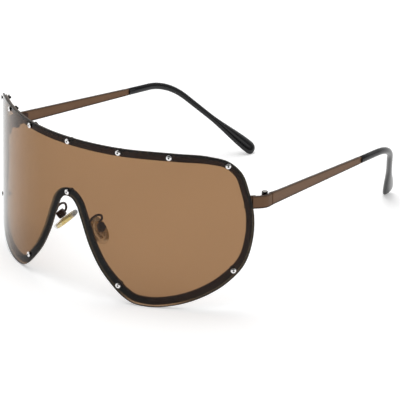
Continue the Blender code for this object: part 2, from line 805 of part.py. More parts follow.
def nose_pad(finish, side, label):
    """Clear pad with a shallow pocket in its back for the insert."""
    back = BOX_MOUTH + PAD_CLEARANCE
    front = back + PAD_THICKNESS
    floor = BOX_MOUTH + INSERT_CLEARANCE + INSERT_THICKNESS + SEAT_GAP
    pocket_length = INSERT_LENGTH + 2 * SEAT_GAP
    pocket_width = INSERT_WIDTH + 2 * SEAT_GAP
    rings = [[pad_point(0, floor, 0)]]
    rings.append(pad_oval(pocket_length, pocket_width, floor, PAD_SIDES))
    rings.append(pad_oval(pocket_length, pocket_width, back, PAD_SIDES))
    for shrink, share in ((0.86, 0.0), (0.97, 0.12), (1.0, 0.35), (0.96, 0.65), (0.82, 0.86)):
        out = back + PAD_THICKNESS * share
        rings.append(pad_oval(PAD_LENGTH * shrink, PAD_WIDTH * shrink, out, PAD_SIDES))
    rings.append(pad_oval(PAD_LENGTH * 0.5, PAD_WIDTH * 0.5, back + PAD_THICKNESS * 0.97, PAD_SIDES))
    rings.append([pad_point(0, front, 0)])
    points, faces = skin(rings)
    add_solid("nose_pad_" + label, points, faces, finish, side, pad_pivot())


def pad_insert(finish, side, label):
    """Metal plate inside the pad, with the lug that turns in the box."""
    plate_back = BOX_MOUTH + INSERT_CLEARANCE
    plate_front = plate_back + INSERT_THICKNESS
    rings = []
    for out in (plate_back, plate_front):
        rings.append(pad_oval(INSERT_LENGTH, INSERT_WIDTH, out, PAD_SIDES))
    points, faces = skin(rings)
    plate_solid = add_solid("pad_insert_" + label, points, faces, finish, side, pad_pivot())

    bore = PAD_SCREW_RADIUS + BORE_GAP
    turns = [math.pi / 2 + math.pi * i / 8 for i in range(9)]
    arch = [(LUG_RADIUS * math.sin(t), LUG_RADIUS * math.cos(t)) for t in turns]
    outline = [(LUG_RADIUS, plate_back + INSERT_THICKNESS / 2)] + arch
    outline += [(-LUG_RADIUS, plate_back + INSERT_THICKNESS / 2)]
    rings = []
    for across in (-LUG_THICKNESS / 2, LUG_THICKNESS / 2):
        rings.append([pad_point(a, b, across) for a, b in outline])
    points, faces = skin(rings)
    lug = add_solid("lug_" + label, points, faces, finish, side, pad_pivot())
    join(plate_solid, lug)
    hole = pivot_pin("lug_hole_" + label, bore, LUG_THICKNESS, finish, side)
    cut(plate_solid, hole)


def pivot_pin(name, radius, length, finish, side):
    """A plain pin along the pad's pivot that passes the given length both ways."""
    _, _, pivot = pad_directions()
    reach = length / 2 + OVERRUN
    profile = ((radius, -reach), (radius, reach))
    points, faces = skin(turned(pad_pivot(), pivot, profile, PAD_SCREW_SIDES))
    return add_solid(name, points, faces, finish, side, pad_pivot())


def box_width():
    return LUG_THICKNESS + 2 * SEAT_GAP + 2 * BOX_WALL


def brick(name, length, width, low, high, finish, side):
    """A block round the pivot, between two distances out of it."""
    rings = []
    a, b = length / 2, width / 2
    for out in (low, high):
        rings.append([pad_point(x, out, y) for x, y in ((a, b), (-a, b), (-a, -b), (a, -b))])
    points, faces = skin(rings)
    return add_solid(name, points, faces, finish, side, pad_pivot())


def pad_box(finish, side, label):
    """Small cup, open towards the pad, with a hole through both cheeks."""
    floor = BOX_MOUTH - BOX_DEPTH
    box = brick("pad_box_" + label, BOX_LENGTH, box_width(), floor, BOX_MOUTH, finish, side)
    edges = box.modifiers.new("round_edges", "BEVEL")
    edges.width = BOX_ROUND
    edges.segments = 2
    edges.limit_method = "ANGLE"
    hollow_length = BOX_LENGTH - 2 * BOX_WALL
    hollow_width = box_width() - 2 * BOX_WALL
    inner_floor = floor + BOX_FLOOR_DEPTH
    hollow = brick(
        "box_hollow_" + label, hollow_length, hollow_width, inner_floor, BOX_MOUTH + OVERRUN,
        finish, side,
    )
    cut(box, hollow)
    bore = PAD_SCREW_RADIUS + BORE_GAP
    cut(box, pivot_pin("box_hole_" + label, bore, box_width(), finish, side))


def pad_screw(finish, side, label):
    """Small screw through the cheeks of the box and the lug."""
    _, _, pivot = pad_directions()
    seat = box_width() / 2 + SEAT_GAP
    far = -(box_width() / 2)
    profile = [(0, far), (PAD_SCREW_RADIUS, far), (PAD_SCREW_RADIUS, seat)]
    profile += [(PAD_HEAD_RADIUS, seat), (PAD_HEAD_RADIUS * 0.8, seat + PAD_HEAD_HEIGHT)]
    profile += [(0, seat + PAD_HEAD_HEIGHT)]
    points, faces = skin(turned(pad_pivot(), pivot, profile, PAD_SCREW_SIDES))
    add_solid("pad_screw_" + label, points, faces, finish, side, pad_pivot())


def pad_arm(finish, side, label):
    """Bent wire from the back of the rim over to the top of the box."""
    spot = along(rim_line(0.5), ARM_SHARE)
    foot = on_lens(spot.x, spot.y, RIM_BACK + SEAT_GAP)
    middle = BOX_MOUTH - BOX_DEPTH / 2
    end = pad_point(-(BOX_LENGTH / 2 + SEAT_GAP), middle, 0)
    points = [foot]
    for straight, rear, rise, outward in ARM_ROUTE_SHARES:
        bulge = Vector((ARM_BULGE_OUTWARD * outward, ARM_BULGE_BACK * rear, ARM_BULGE_UP * rise))
        points.append(foot.lerp(end, straight) + bulge)
    points.append(end)
    length, _, _ = pad_directions()
    route = smooth_curve(points, ARM_STEPS, -outward_from_lens(spot.x), length)
    rings = sweep(route, lambda i: oval(2 * ARM_RADIUS, 2 * ARM_RADIUS, ARM_SIDES))
    points, faces = skin(rings)
    add_solid("pad_arm_" + label, points, faces, finish, side)


def stand_on_floor():
    """Move the glasses so that the origin is under the middle of their box."""
    bpy.context.view_layer.update()
    shown = [obj for obj in bpy.data.objects if not obj.hide_render]
    corners = [obj.matrix_world @ Vector(c) for obj in shown for c in obj.bound_box]
    low = Vector([min(c[i] for c in corners) for i in range(3)])
    high = Vector([max(c[i] for c in corners) for i in range(3)])
    shift = Vector((0, -(low.y + high.y) / 2, -low.z))
    for obj in bpy.data.objects:
        obj.location += shift


def build():
    clear_scene()
    lens = material("brown_lens", (0.35, 0.21, 0.11), 0.03, 0.0, 1.0)
    brown = material("brown_metal", (0.17, 0.10, 0.06), 0.35, 0.9)
    dark = material("dark_metal", (0.03, 0.022, 0.018), 0.4, 0.8)
    silver = material("polished_steel", (0.75, 0.74, 0.72), 0.15, 1.0)
    plastic = material("dark_plastic", (0.03, 0.03, 0.032), 0.25, 0.0)
    clear = material("clear_silicone", (0.85, 0.83, 0.78), 0.2, 0.0, 0.8)
    gold = material("gold_metal", (0.72, 0.50, 0.16), 0.3, 1.0)
    lens_and_rim(lens, brown)
    lens_fasteners(silver, dark)
    for label, side in SIDES:
        endpiece(brown, side, label)
        hinge_halves(dark, side, label)
        hinge_screw(dark, side, label)
        temple_and_tip(brown, plastic, side, label)
        pad_arm(dark, side, label)
        pad_box(dark, side, label)
        nose_pad(clear, side, label)
        pad_insert(gold, side, label)
        pad_screw(dark, side, label)
    stand_on_floor()


build()
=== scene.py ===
# %% [markdown]
# # Wraparound shield sunglasses
#
# One brown tinted sheet, bent like a piece of a barrel, is screwed to a slim metal rim that lies
# behind it. Two flat metal temples fold on small hinges, and two clear pads rest on the nose.
#
# The lesson goes the way a workshop would: the studio first, then the finishes, then piece by
# piece from the lens backwards to the temple tips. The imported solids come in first, because each
# piece has to sit where its solid sits and has to move with it.

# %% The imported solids
import math

import bmesh
import bpy
from mathutils import Matrix, Vector
from mathutils.geometry import delaunay_2d_cdt


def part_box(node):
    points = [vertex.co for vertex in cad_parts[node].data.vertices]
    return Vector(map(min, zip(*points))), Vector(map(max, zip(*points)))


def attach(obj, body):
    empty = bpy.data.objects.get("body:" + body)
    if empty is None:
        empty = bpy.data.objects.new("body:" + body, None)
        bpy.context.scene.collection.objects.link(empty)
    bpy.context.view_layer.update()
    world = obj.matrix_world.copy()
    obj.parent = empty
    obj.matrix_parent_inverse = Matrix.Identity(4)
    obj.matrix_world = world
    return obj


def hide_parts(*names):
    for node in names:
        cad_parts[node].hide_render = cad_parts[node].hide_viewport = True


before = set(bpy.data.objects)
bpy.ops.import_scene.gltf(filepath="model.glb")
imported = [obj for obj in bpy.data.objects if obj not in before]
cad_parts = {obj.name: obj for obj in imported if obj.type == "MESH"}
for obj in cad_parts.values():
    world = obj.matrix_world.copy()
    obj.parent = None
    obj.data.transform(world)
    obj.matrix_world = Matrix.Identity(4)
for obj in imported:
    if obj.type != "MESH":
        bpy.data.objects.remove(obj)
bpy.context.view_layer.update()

UP = Vector((0, 0, 1))
SIDEWAYS = Vector((1, 0, 0))
SIDES = (("left", 1), ("right", -1))


def put(name, data):
    """A new object in the scene."""
    obj = bpy.data.objects.new(name, data)
    bpy.context.scene.collection.objects.link(obj)
    return obj


# %% [markdown]
# ## Camera
#
# A product photographer stands off with a long lens, so that near and far parts keep almost the
# same scale. The camera is set from four facts: where it stands, what it looks at, a very small
# roll, and the lens. The focal length follows from the picture's width in pixels.

# %% Camera
CAMERA_PLACE = Vector((0.66137, -0.711863, 0.436042))  # from the lens's foremost line
CAMERA_AIM = Vector((0.034255, 0.039797, 0.034522))
CAMERA_ROLL = math.radians(0.087)
PICTURE_WIDTH = 400
FOCAL_PIXELS = 2682.29
SENSOR_WIDTH = 36.0

camera_data = bpy.data.cameras.new("camera")
camera_data.sensor_width = SENSOR_WIDTH
camera_data.lens = FOCAL_PIXELS / PICTURE_WIDTH * SENSOR_WIDTH
camera_data.clip_start = 0.01
camera = put("camera", camera_data)
camera.rotation_mode = "QUATERNION"
camera.location = CAMERA_PLACE + Vector((0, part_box("lens_shield")[0].y, 0))
towards = (CAMERA_AIM - CAMERA_PLACE).to_track_quat("-Z", "Y")
camera.rotation_quaternion = towards @ Matrix.Rotation(CAMERA_ROLL, 3, "Z").to_quaternion()
bpy.context.scene.camera = camera
bpy.context.scene.view_settings.view_transform = "Standard"
print("focal length", round(camera_data.lens, 1), "mm")

# %% [markdown]
# ## Shader maths in Python
#
# A shader tree is a sum written with boxes and strings. Drawn by hand it is easy to follow, but in
# a script each box takes several lines. The class below wraps one socket, so that an expression
# such as `1 - mask * 0.5` adds its own Math nodes. All other nodes come from `Bench.node`, which
# sets a node's settings first, because they decide which sockets it has.


# %% Sockets that can be added and multiplied
def operator(operation, reflected=False):
    """A Python operator that adds a Math node."""

    def run(self, other):
        pair = (other, self) if reflected else (self, other)
        return self.maths(operation, *pair)

    return run


class Wire:
    """A node's output that takes part in Python sums."""

    def __init__(self, bench, socket):
        self.bench = bench
        self.socket = socket

    def maths(self, operation, *values):
        settings = {"operation": operation}
        return self.bench.node("ShaderNodeMath", settings, dict(enumerate(values)))

    __add__ = __radd__ = operator("ADD")
    __sub__ = operator("SUBTRACT")
    __rsub__ = operator("SUBTRACT", reflected=True)
    __mul__ = __rmul__ = operator("MULTIPLY")
    __truediv__ = operator("DIVIDE")
    __rtruediv__ = operator("DIVIDE", reflected=True)
    __pow__ = operator("POWER")

    def __neg__(self):
        return self * -1.0

    def sine(self):
        return self.maths("SINE", self)

    def cosine(self):
        return self.maths("COSINE", self)

    def clamped(self):
        return self.maths("MAXIMUM", self.maths("MINIMUM", self, 1.0), 0.0)


def find_socket(sockets, key):
    """A socket by its number, name or identifier, among those in use."""
    if isinstance(key, int):
        return sockets[key]
    return next(s for s in sockets if s.enabled and key in (s.identifier, s.name))


def fill_ramp(ramp, stops):
    """Sets a ramp's stops, each a position and a grey."""
    while len(ramp.elements) < len(stops):
        ramp.elements.new(1.0)
    for element, (position, grey) in zip(ramp.elements, stops):
        element.position = position
        element.color = (grey, grey, grey, 1)


class Bench:
    """Lays out nodes in one tree."""

    def __init__(self, tree):
        self.tree = tree

    def node(self, kind, settings=None, inputs=None, output=0):
        """One node: its settings first, then the values or links of its sockets."""
        made = self.tree.nodes.new(kind)
        for name, value in (settings or {}).items():
            if name == "stops":
                fill_ramp(made.color_ramp, value)
            elif name == "items":
                for _ in range(value - len(made.index_switch_items)):
                    made.index_switch_items.new()
            else:
                setattr(made, name, value)
        for key, value in (inputs or {}).items():
            socket = find_socket(made.inputs, key)
            if isinstance(value, Wire):
                self.tree.links.new(value.socket, socket)
            else:
                socket.default_value = value
        return Wire(self, find_socket(made.outputs, output)) if made.outputs else None

    def coordinate(self, kind="Object"):
        return self.node("ShaderNodeTexCoord", {}, {}, kind)

    def noise(self, where, scale, detail):
        inputs = {"Vector": where, "Scale": scale, "Detail": detail}
        return self.node("ShaderNodeTexNoise", {}, inputs, "Fac")

    def relief(self, strength, height):
        inputs = {"Strength": strength, "Distance": 0.0001, "Height": height}
        return self.node("ShaderNodeBump", {}, inputs)

    def ramp(self, stops, factor):
        return self.node("ShaderNodeValToRGB", {"stops": stops}, {"Fac": factor})

    def number(self, name):
        """A number that the mesh keeps at its points."""
        return self.node("ShaderNodeAttribute", {"attribute_name": name}, {}, "Fac")

    def mixed(self, factor, first, second):
        """Two colours mixed by a factor."""
        settings = {"data_type": "RGBA", "clamp_factor": True}
        inputs = {"Factor_Float": factor, "A_Color": first, "B_Color": second}
        return self.node("ShaderNodeMix", settings, inputs, "Result_Color")

    def clear(self, colour):
        return self.node("ShaderNodeBsdfTransparent", {}, {"Color": colour})

    def layered(self, share, first, second):
        """Two surfaces mixed by a share."""
        return self.node("ShaderNodeMixShader", {}, {0: share, 1: first, 2: second})

    def axis(self, vector, letter):
        return self.node("ShaderNodeSeparateXYZ", {}, {0: vector}, letter)

    def facing(self):
        """0 where a surface faces the eye, 1 where it turns away."""
        return self.node("ShaderNodeLayerWeight", {}, {"Blend": 0.5}, "Facing")

    def rays(self):
        """Whether the camera, a mirror or something see-through looks this way."""
        kinds = ("Is Camera Ray", "Is Glossy Ray", "Is Transmission Ray")
        return [self.node("ShaderNodeLightPath", {}, {}, kind) for kind in kinds]


# %% [markdown]
# ## Studio
#
# The photograph was taken on a white sweep under large soft lamps: the ground is pure white, and
# only where the glasses touch it is there a soft grey. A floor that is simply lit until it is
# white would pour light on the glasses. Instead the floor adds a little of its own brightness for
# the camera and for mirror rays only, and keeps the shadow in what it reflects.

# %% Floor and surroundings
FLOOR_SIZE = 30.0
FLOOR_PAINT = (0.83, 0.83, 0.83, 1)
FLOOR_GLOW = 0.35  # in mirrors and through the lens
FLOOR_GLOW_SEEN = 0.40  # where the camera looks straight at it
SKY_LIGHT = 0.60
SKY_ALL_ROUND = 0.20
SKY_FROM_ABOVE = 3.2  # how much stronger it is straight overhead
SKY_STEEPNESS = 6.0
CARD_STOPS = ((0.0, 1.0), (0.45, 0.95), (0.72, 0.30), (0.88, 0.12), (1.0, 0.10))
SIDE_STOPS = ((0.0, 1.0), (0.30, 1.0), (0.50, 0.50), (0.70, 0.24), (1.0, 0.16))
OVERHEAD_STOPS = ((0.0, 1.0), (0.40, 0.95), (0.65, 0.45), (1.0, 0.30))


def new_finish(name):
    """An empty node material and its bench."""
    finish = bpy.data.materials.new(name)
    finish.use_nodes = True
    finish.node_tree.nodes.clear()
    return finish, Bench(finish.node_tree)


def end_with(bench, surface):
    bench.node("ShaderNodeOutputMaterial", {}, {"Surface": surface})


floor_finish, bench = new_finish("studio_floor")
paint = bench.node("ShaderNodeBsdfDiffuse", {}, {"Color": FLOOR_PAINT})
seen, mirrored, passed = bench.rays()
glow_strength = seen * FLOOR_GLOW_SEEN + (mirrored + passed - seen).clamped() * FLOOR_GLOW
glow = bench.node("ShaderNodeEmission", {}, {"Strength": glow_strength})
end_with(bench, bench.node("ShaderNodeAddShader", {}, {0: paint, 1: glow}))

floor_mesh = bpy.data.meshes.new("studio_floor")
half = FLOOR_SIZE / 2
floor_corners = [(-half, -half, 0), (half, -half, 0), (half, half, 0), (-half, half, 0)]
floor_mesh.from_pydata(floor_corners, [], [(0, 1, 2, 3)])
floor_mesh.materials.append(floor_finish)
put("studio_floor", floor_mesh)

world = bpy.data.worlds.new("studio_sky")
world.use_nodes = True
world.node_tree.nodes.clear()
bench = Bench(world.node_tree)
direction = bench.coordinate("Generated")
to_card = (CAMERA_PLACE - CAMERA_AIM).normalized()
towards_card = bench.node(
    "ShaderNodeVectorMath", {"operation": "DOT_PRODUCT"}, {0: direction, 1: to_card}, "Value"
)
card = bench.ramp(CARD_STOPS, towards_card.clamped())
rising = bench.axis(direction, "Z").clamped()
sideways = bench.axis(direction, "X").clamped()
seen, mirrored, passed = bench.rays()
direct = (seen + passed).clamped()
scattered = (1 - direct - mirrored).clamped()
flags = card * bench.ramp(OVERHEAD_STOPS, rising) * bench.ramp(SIDE_STOPS, sideways)
from_above = SKY_ALL_ROUND + (rising ** SKY_STEEPNESS) * SKY_FROM_ABOVE
strength = direct + mirrored * flags + scattered * from_above * SKY_LIGHT
sky = bench.node("ShaderNodeBackground", {}, {"Color": (1, 1, 1, 1), "Strength": strength})
bench.node("ShaderNodeOutputWorld", {}, {"Surface": sky})
bpy.context.scene.world = world
print("floor", FLOOR_SIZE, "m wide; nodes in the sky", len(world.node_tree.nodes))

# %% Lamps
# name, place, size, power in watts
LAMPS = (
    ("lamp_above", (-0.6, 0.15, 1.6), 1.4, 9.0),
    ("lamp_side", (1.4, 0.5, 0.9), 1.0, 3.0),
)
for name, place, size, power in LAMPS:
    lamp_data = bpy.data.lights.new(name, "AREA")
    lamp_data.size = size
    lamp_data.energy = power
    lamp = put(name, lamp_data)
    lamp.location = place
    lamp.rotation_euler = (-Vector(place)).to_track_quat("-Z", "Y").to_euler()
print("lamps", [name for name, *_ in LAMPS])

# %% [markdown]
# ## Finish of the lens
#
# A sun lens is clear plastic with dye in it: it takes most of the blue, less of the red, and the
# white ground behind it turns brown. Real glass with refraction would be slow here and would hide
# the pads behind noise, and a sheet of 0.8 mm bends light too little to see. So each face lets
# light straight through and tints it once, and a mirror layer takes over where the sheet turns
# away from the eye.

# %% Lens finish
LENS_TINT = (0.560, 0.419, 0.292, 1)  # of one face; light passes two
LENS_DEEP_TINT_AND_SHADE = (0.19, 0.16, 0.12, 1)  # deeper dye for slanting rays, and painted shade along the edge and at the foot
# a nearly clear layer that paints a highlight on the bevel at the foot of the lobes
LENS_PAINTED_HIGHLIGHT = (0.93, 0.90, 0.88, 1)
LENS_MIRROR_STOPS = (
    (0.0, 0.015), (0.45, 0.021), (0.537, 0.042), (0.608, 0.080), (0.673, 0.135), (0.726, 0.20),
    (0.79, 0.31), (0.83, 0.41), (0.89, 0.60), (1.0, 0.95),
)
SLANT_DYE_STOPS = (
    (0.0, 0.0), (0.12, 0.0), (0.31, 0.045), (0.45, 0.085), (0.60, 0.12), (0.70, 0.12), (0.79, 0.25),
    (0.83, 0.46), (0.89, 0.58), (1.0, 0.60),
)  # a slanting ray passes more of the dye
FOOT_PAINTED_SHADE = 0.03  # painted shade: how much darker the lens is made towards its foot
FOOT_PAINTED_SHADE_TOP = 0.064
SMEAR_SCALE, SAW_SCALE = 90.0, 900.0
SMEAR_DYE, SMEAR_ROUGHNESS = 0.01, 0.05

lens_finish, bench = new_finish("brown_lens")
coordinate = bench.coordinate()
facing = bench.facing()
smears = bench.noise(coordinate, SMEAR_SCALE, 4.0)
# Painted shade, darker towards the foot of the lens
foot = (1 - bench.axis(coordinate, "Z") / FOOT_PAINTED_SHADE_TOP).clamped() * FOOT_PAINTED_SHADE
slant = bench.ramp(SLANT_DYE_STOPS, facing)
# Dye made deeper for slanting rays and smears, plus painted shade along the border and at the foot
dye_and_painted_shade = (bench.number("margin") + foot + slant + smears * SMEAR_DYE).clamped()
tint_and_painted_light = bench.layered(dye_and_painted_shade, bench.clear(LENS_TINT), bench.clear(LENS_DEEP_TINT_AND_SHADE))
# Painted highlight: a pale sliver along the bevel at the foot
tint_and_painted_light = bench.layered(bench.number("pale"), tint_and_painted_light, bench.clear(LENS_PAINTED_HIGHLIGHT))
mirror = {"Color": (1, 1, 1, 1), "Roughness": 0.02 + smears * SMEAR_ROUGHNESS}
mirror = bench.node("ShaderNodeBsdfGlossy", {}, mirror)
end_with(bench, bench.layered(bench.ramp(LENS_MIRROR_STOPS, facing), tint_and_painted_light, mirror))

lens_edge_finish, bench = new_finish("brown_lens_edge")
saw_marks = bench.noise(bench.coordinate(), SAW_SCALE, 2.0)
edge_colour = bench.mixed(saw_marks, (0.02, 0.014, 0.010, 1), (0.06, 0.045, 0.032, 1))
edge = {
    "Base Color": edge_colour, "Roughness": 0.3 + saw_marks * 0.2, "IOR": 1.5,
    "Specular IOR Level": 0.15,
}
end_with(bench, bench.node("ShaderNodeBsdfPrincipled", {}, edge))
print("lens finishes", lens_finish.name, lens_edge_finish.name)

# %% [markdown]
# ## Finishes of the metal parts
#
# The strips are flat brown plated metal with a fine grain along their length, with painted shade on
# their narrow top and bottom faces and along the lower part of their sides. The screws are bright
# steel with painted shade in their recesses and round their heads, and the small fittings are
# nearly black. They differ in a few numbers only, so one recipe makes them all: a colour that
# drifts slowly, a second colour for painted shade (on the hinge pins a painted highlight) where a
# number on the mesh asks for it, fine grain in the roughness and a faint bump. The gilt plates in
# the nose pads are pierced too finely to see, so theirs has small round holes as well.

# %% Metal recipe
BRUSH_STRETCH = (1.0, 14.0, 1.0)
DARKER, LIGHTER = 0.78, 1.15  # of the face's colour
DRIFT_SCALE = 120.0
GRAIN_ROUGHNESS = 0.18  # between the smoothest and the roughest grain
HOLE_EDGE, HOLE_SHARPNESS = 0.48, 12.0


def metal_finish(
    name, face, edge, roughness, metallic, grain_scale, bump, brushed=False, hole_pitch=None
):
    """Metal with drift in its colour and a second colour for painted shade, or for a painted
    highlight on the hinge pins; brushed grain follows the UV length.
    """
    finish, bench = new_finish(name)
    coordinate = bench.coordinate()
    stretch = coordinate
    if brushed:
        inputs = {"Vector": bench.coordinate("UV"), "Scale": BRUSH_STRETCH}
        stretch = bench.node("ShaderNodeMapping", {}, inputs)
    grain = bench.noise(stretch, grain_scale, 3.0)
    drift = bench.noise(coordinate, DRIFT_SCALE, 2.0)
    tones = [tuple(tone * c for c in face) + (1,) for tone in (DARKER, LIGHTER)]
    body = bench.mixed(grain * 0.5 + drift * 0.5, *tones)
    # The edge colour is painted shade, or a painted highlight on the hinge pins, mixed in by the
    # mesh's number
    metal = {
        "Base Color": bench.mixed(bench.number("rounded"), body, edge + (1,)),
        "Metallic": metallic, "Normal": bench.relief(bump, grain),
        "Roughness": roughness + (grain - 0.5) * GRAIN_ROUGHNESS,
    }
    surface = bench.node("ShaderNodeBsdfPrincipled", {}, metal)
    if hole_pitch:
        inputs = {"Vector": coordinate, "Scale": 1 / hole_pitch}
        cell = bench.node("ShaderNodeTexVoronoi", {}, inputs, "Distance")
        open_here = ((cell - HOLE_EDGE) * HOLE_SHARPNESS).clamped()
        surface = bench.layered(open_here, surface, bench.clear((1, 1, 1, 1)))
    end_with(bench, surface)
    return finish


# Its edge colour is painted shade on the strips' narrow faces and undersides
brown_metal = metal_finish(
    "brown_metal", (0.175, 0.098, 0.056), (0.040, 0.026, 0.018), 0.42, 0.85, 1600.0, 0.15,
    brushed=True,
)
rim_metal = metal_finish(
    "brown_metal_rim", (0.100, 0.066, 0.044), (0.14, 0.100, 0.070), 0.40, 0.7, 1200.0, 0.1
)
dark_metal = metal_finish(
    "dark_metal", (0.022, 0.016, 0.013), (0.06, 0.05, 0.04), 0.34, 0.7, 1500.0, 0.1
)
hinge_metal = metal_finish(
    "dark_metal_hinge", (0.050, 0.024, 0.016), (0.06, 0.03, 0.02), 0.36, 0.6, 1500.0, 0.1
)
# Its pale edge colour is a painted highlight in the dished tops of the hinge pins
hinge_screw_metal = metal_finish(
    "dark_metal_screw", (0.014, 0.012, 0.010), (0.42, 0.40, 0.37), 0.30, 0.8, 1500.0, 0.05
)
# Its nearly black edge colour is painted shade in the screws' recesses and round their heads
steel = metal_finish(
    "polished_steel", (0.88, 0.87, 0.86), (0.03, 0.03, 0.03), 0.16, 1.0, 1500.0, 0.05
)
gold_metal = metal_finish(
    "gold_metal", (0.92, 0.72, 0.36), (0.80, 0.60, 0.26), 0.36, 0.3, 1500.0, 0.1,
    hole_pitch=0.0006,
)
print("metals made by one recipe", brown_metal.name, "to", gold_metal.name)

# %% [markdown]
# ## Finishes of the plastic parts
#
# The temple tips are injection moulded and polished, so they are smooth and dark with long pale
# highlights. The nose pads are clear soft silicone. They act like small lenses: their side walls
# show the gilt plate inside, much enlarged, while their ends stay clear. Refraction would cost
# many samples on such a small piece, so two numbers on the mesh say where gold and where the dark
# rim shows in the wall, and the rest lets light straight through.

# %% Tip plastic and pad silicone
tip_plastic, bench = new_finish("dark_plastic")
coordinate = bench.coordinate()
handling = bench.noise(coordinate, 160.0, 4.0)
plastic = {
    "Base Color": bench.mixed(handling, (0.004, 0.004, 0.005, 1), (0.009, 0.009, 0.010, 1)),
    "Roughness": 0.11 + handling * 0.08, "IOR": 1.42,
    "Normal": bench.relief(0.04, bench.noise(coordinate, 700.0, 2.0)),
}
end_with(bench, bench.node("ShaderNodeBsdfPrincipled", {}, plastic))

pad_silicone, bench = new_finish("clear_silicone")
cloud = bench.noise(bench.coordinate(), 400.0, 3.0)
facing = bench.facing()
gold_seen = bench.number("gold_seen")
grey_seen = bench.number("grey_seen")
milky = bench.mixed(grey_seen, (0.66, 0.66, 0.65, 1), (0.22, 0.24, 0.26, 1))
milk = {
    "Base Color": bench.mixed(gold_seen, milky, (0.80, 0.62, 0.22, 1)),
    "Metallic": gold_seen * 0.6, "Roughness": 0.22 + cloud * 0.1, "IOR": 1.41,
}
milk_share = 0.04 + cloud * 0.04 + (facing ** 3.0) * 0.28 + grey_seen * 0.55
milk_share = (milk_share + gold_seen * (0.55 + cloud * 0.35)).clamped()
milk = bench.node("ShaderNodeBsdfPrincipled", {}, milk)
end_with(bench, bench.layered(milk_share, bench.clear((0.97, 0.97, 0.965, 1)), milk))
print("finishes", len(bpy.data.materials))

# %% [markdown]
# ## Mesh helpers
#
# Most pieces are a row of rings with a skin over them: a strip, a sleeve, a wire. The skin writes a
# UV map in metres, length along and length around, so that grain can follow the piece, and keeps a
# number for each point that says how much painted shade it takes on its edges and underside.


# %% Skin over rings
def running_length(points):
    gone = [0.0]
    for a, b in zip(points, points[1:]):
        gone.append(gone[-1] + (b - a).length)
    return gone


def skin(rings):
    """Points, faces and corner UVs over rings; a ring of one point is a pole."""
    points = [p for ring in rings for p in ring]
    starts = [sum(len(ring) for ring in rings[:i]) for i in range(len(rings))]
    gone = running_length([sum(ring, Vector()) / len(ring) for ring in rings])
    widest = max(rings, key=len)
    around = running_length(widest + widest[:1])
    faces = []
    corners = []
    for a in range(len(rings) - 1):
        b = a + 1
        count = max(len(rings[a]), len(rings[b]))
        for i in range(count):
            j = (i + 1) % count
            low = [(i, around[i]), (j, around[i + 1])] if len(rings[a]) > 1 else [(0, around[i])]
            high = [(j, around[i + 1]), (i, around[i])] if len(rings[b]) > 1 else [(0, around[i])]
            faces.append([starts[a] + k for k, _ in low] + [starts[b] + k for k, _ in high])
            corners += [(gone[a], v) for _, v in low] + [(gone[b], v) for _, v in high]
    for i in (0, len(rings) - 1):
        if len(rings[i]) > 1:
            faces.append([starts[i] + k for k in range(len(rings[i]))])
            corners += [(gone[i], v) for v in around[: len(rings[i])]]
    return points, faces, corners


def keep_numbers(mesh, name, values, domain="POINT"):
    """Writes a number for each point, or each face, into a mesh."""
    mesh.attributes.new(name, "FLOAT", domain).data.foreach_set("value", values)


def smooth_shading(mesh, sharp):
    mesh.shade_smooth()
    mesh.set_sharp_from_angle(angle=math.radians(sharp))


def solid(name, points, faces, corners=None, rounded=None, side=1, sharp=35):
    """A closed mesh object, mirrored for the other side, with its faces outwards."""
    mesh = bpy.data.meshes.new(name)
    mesh.from_pydata([p * Vector((side, 1, 1)) for p in points], [], faces)
    if corners:
        layer = mesh.uv_layers.new(name="UVMap")
        layer.data.foreach_set("uv", [v for corner in corners for v in corner])
    if rounded:
        keep_numbers(mesh, "rounded", rounded)
    work = bmesh.new()
    work.from_mesh(mesh)
    bmesh.ops.recalc_face_normals(work, faces=work.faces)
    work.to_mesh(mesh)
    work.free()
    smooth_shading(mesh, sharp)
    return put(name, mesh)


def fit(obj, body, slot, finishes, *nodes):
    """Hands a finished piece over: its body, its finishes and the solids it stands for; slot, its
    record's finish name, is not used.
    """
    for finish in finishes:
        if finish.name not in obj.data.materials:
            obj.data.materials.append(finish)
    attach(obj, body)
    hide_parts(*nodes)
    print(obj.name, "triangles", sum(len(p.vertices) - 2 for p in obj.data.polygons))


# %% Curves and sections
def smooth_curve(points, steps, first, last):
    """Points along a cubic curve through the given points, with its first and last direction."""
    spans = [(b - a).length for a, b in zip(points, points[1:])]
    chords = [(b - a) / d for a, b, d in zip(points, points[1:], spans)]
    slopes = [first]
    for i in range(1, len(points) - 1):
        before, after = spans[i - 1], spans[i]
        slopes.append((chords[i - 1] * after + chords[i] * before) / (before + after))
    slopes.append(last)
    curve = []
    for i, d in enumerate(spans):
        for k in range(steps):
            t = k / steps
            start = points[i] * (2 * t**3 - 3 * t**2 + 1) + slopes[i] * d * (t**3 - 2 * t**2 + t)
            end = points[i + 1] * (3 * t**2 - 2 * t**3) + slopes[i + 1] * d * (t**3 - t**2)
            curve.append(start + end)
    return curve + [points[-1]]


def smooth_step(t):
    t = min(max(t, 0), 1)
    return t * t * (3 - 2 * t)


def sweep(route, section):
    """Rings square to a route; section(i) gives offsets sideways and upwards."""
    rings = []
    for i, p in enumerate(route):
        ahead = (route[min(i + 1, len(route) - 1)] - route[max(i - 1, 0)]).normalized()
        across = (SIDEWAYS - ahead * SIDEWAYS.dot(ahead)).normalized()
        upward = across.cross(ahead)
        rings.append([p + across * a + upward * b for a, b, *_ in section(i)])
    return rings


def oval(width, height, sides):
    turns = [math.tau * (i + 0.5) / sides for i in range(sides)]
    return [(width / 2 * math.cos(t), height / 2 * math.sin(t)) for t in turns]


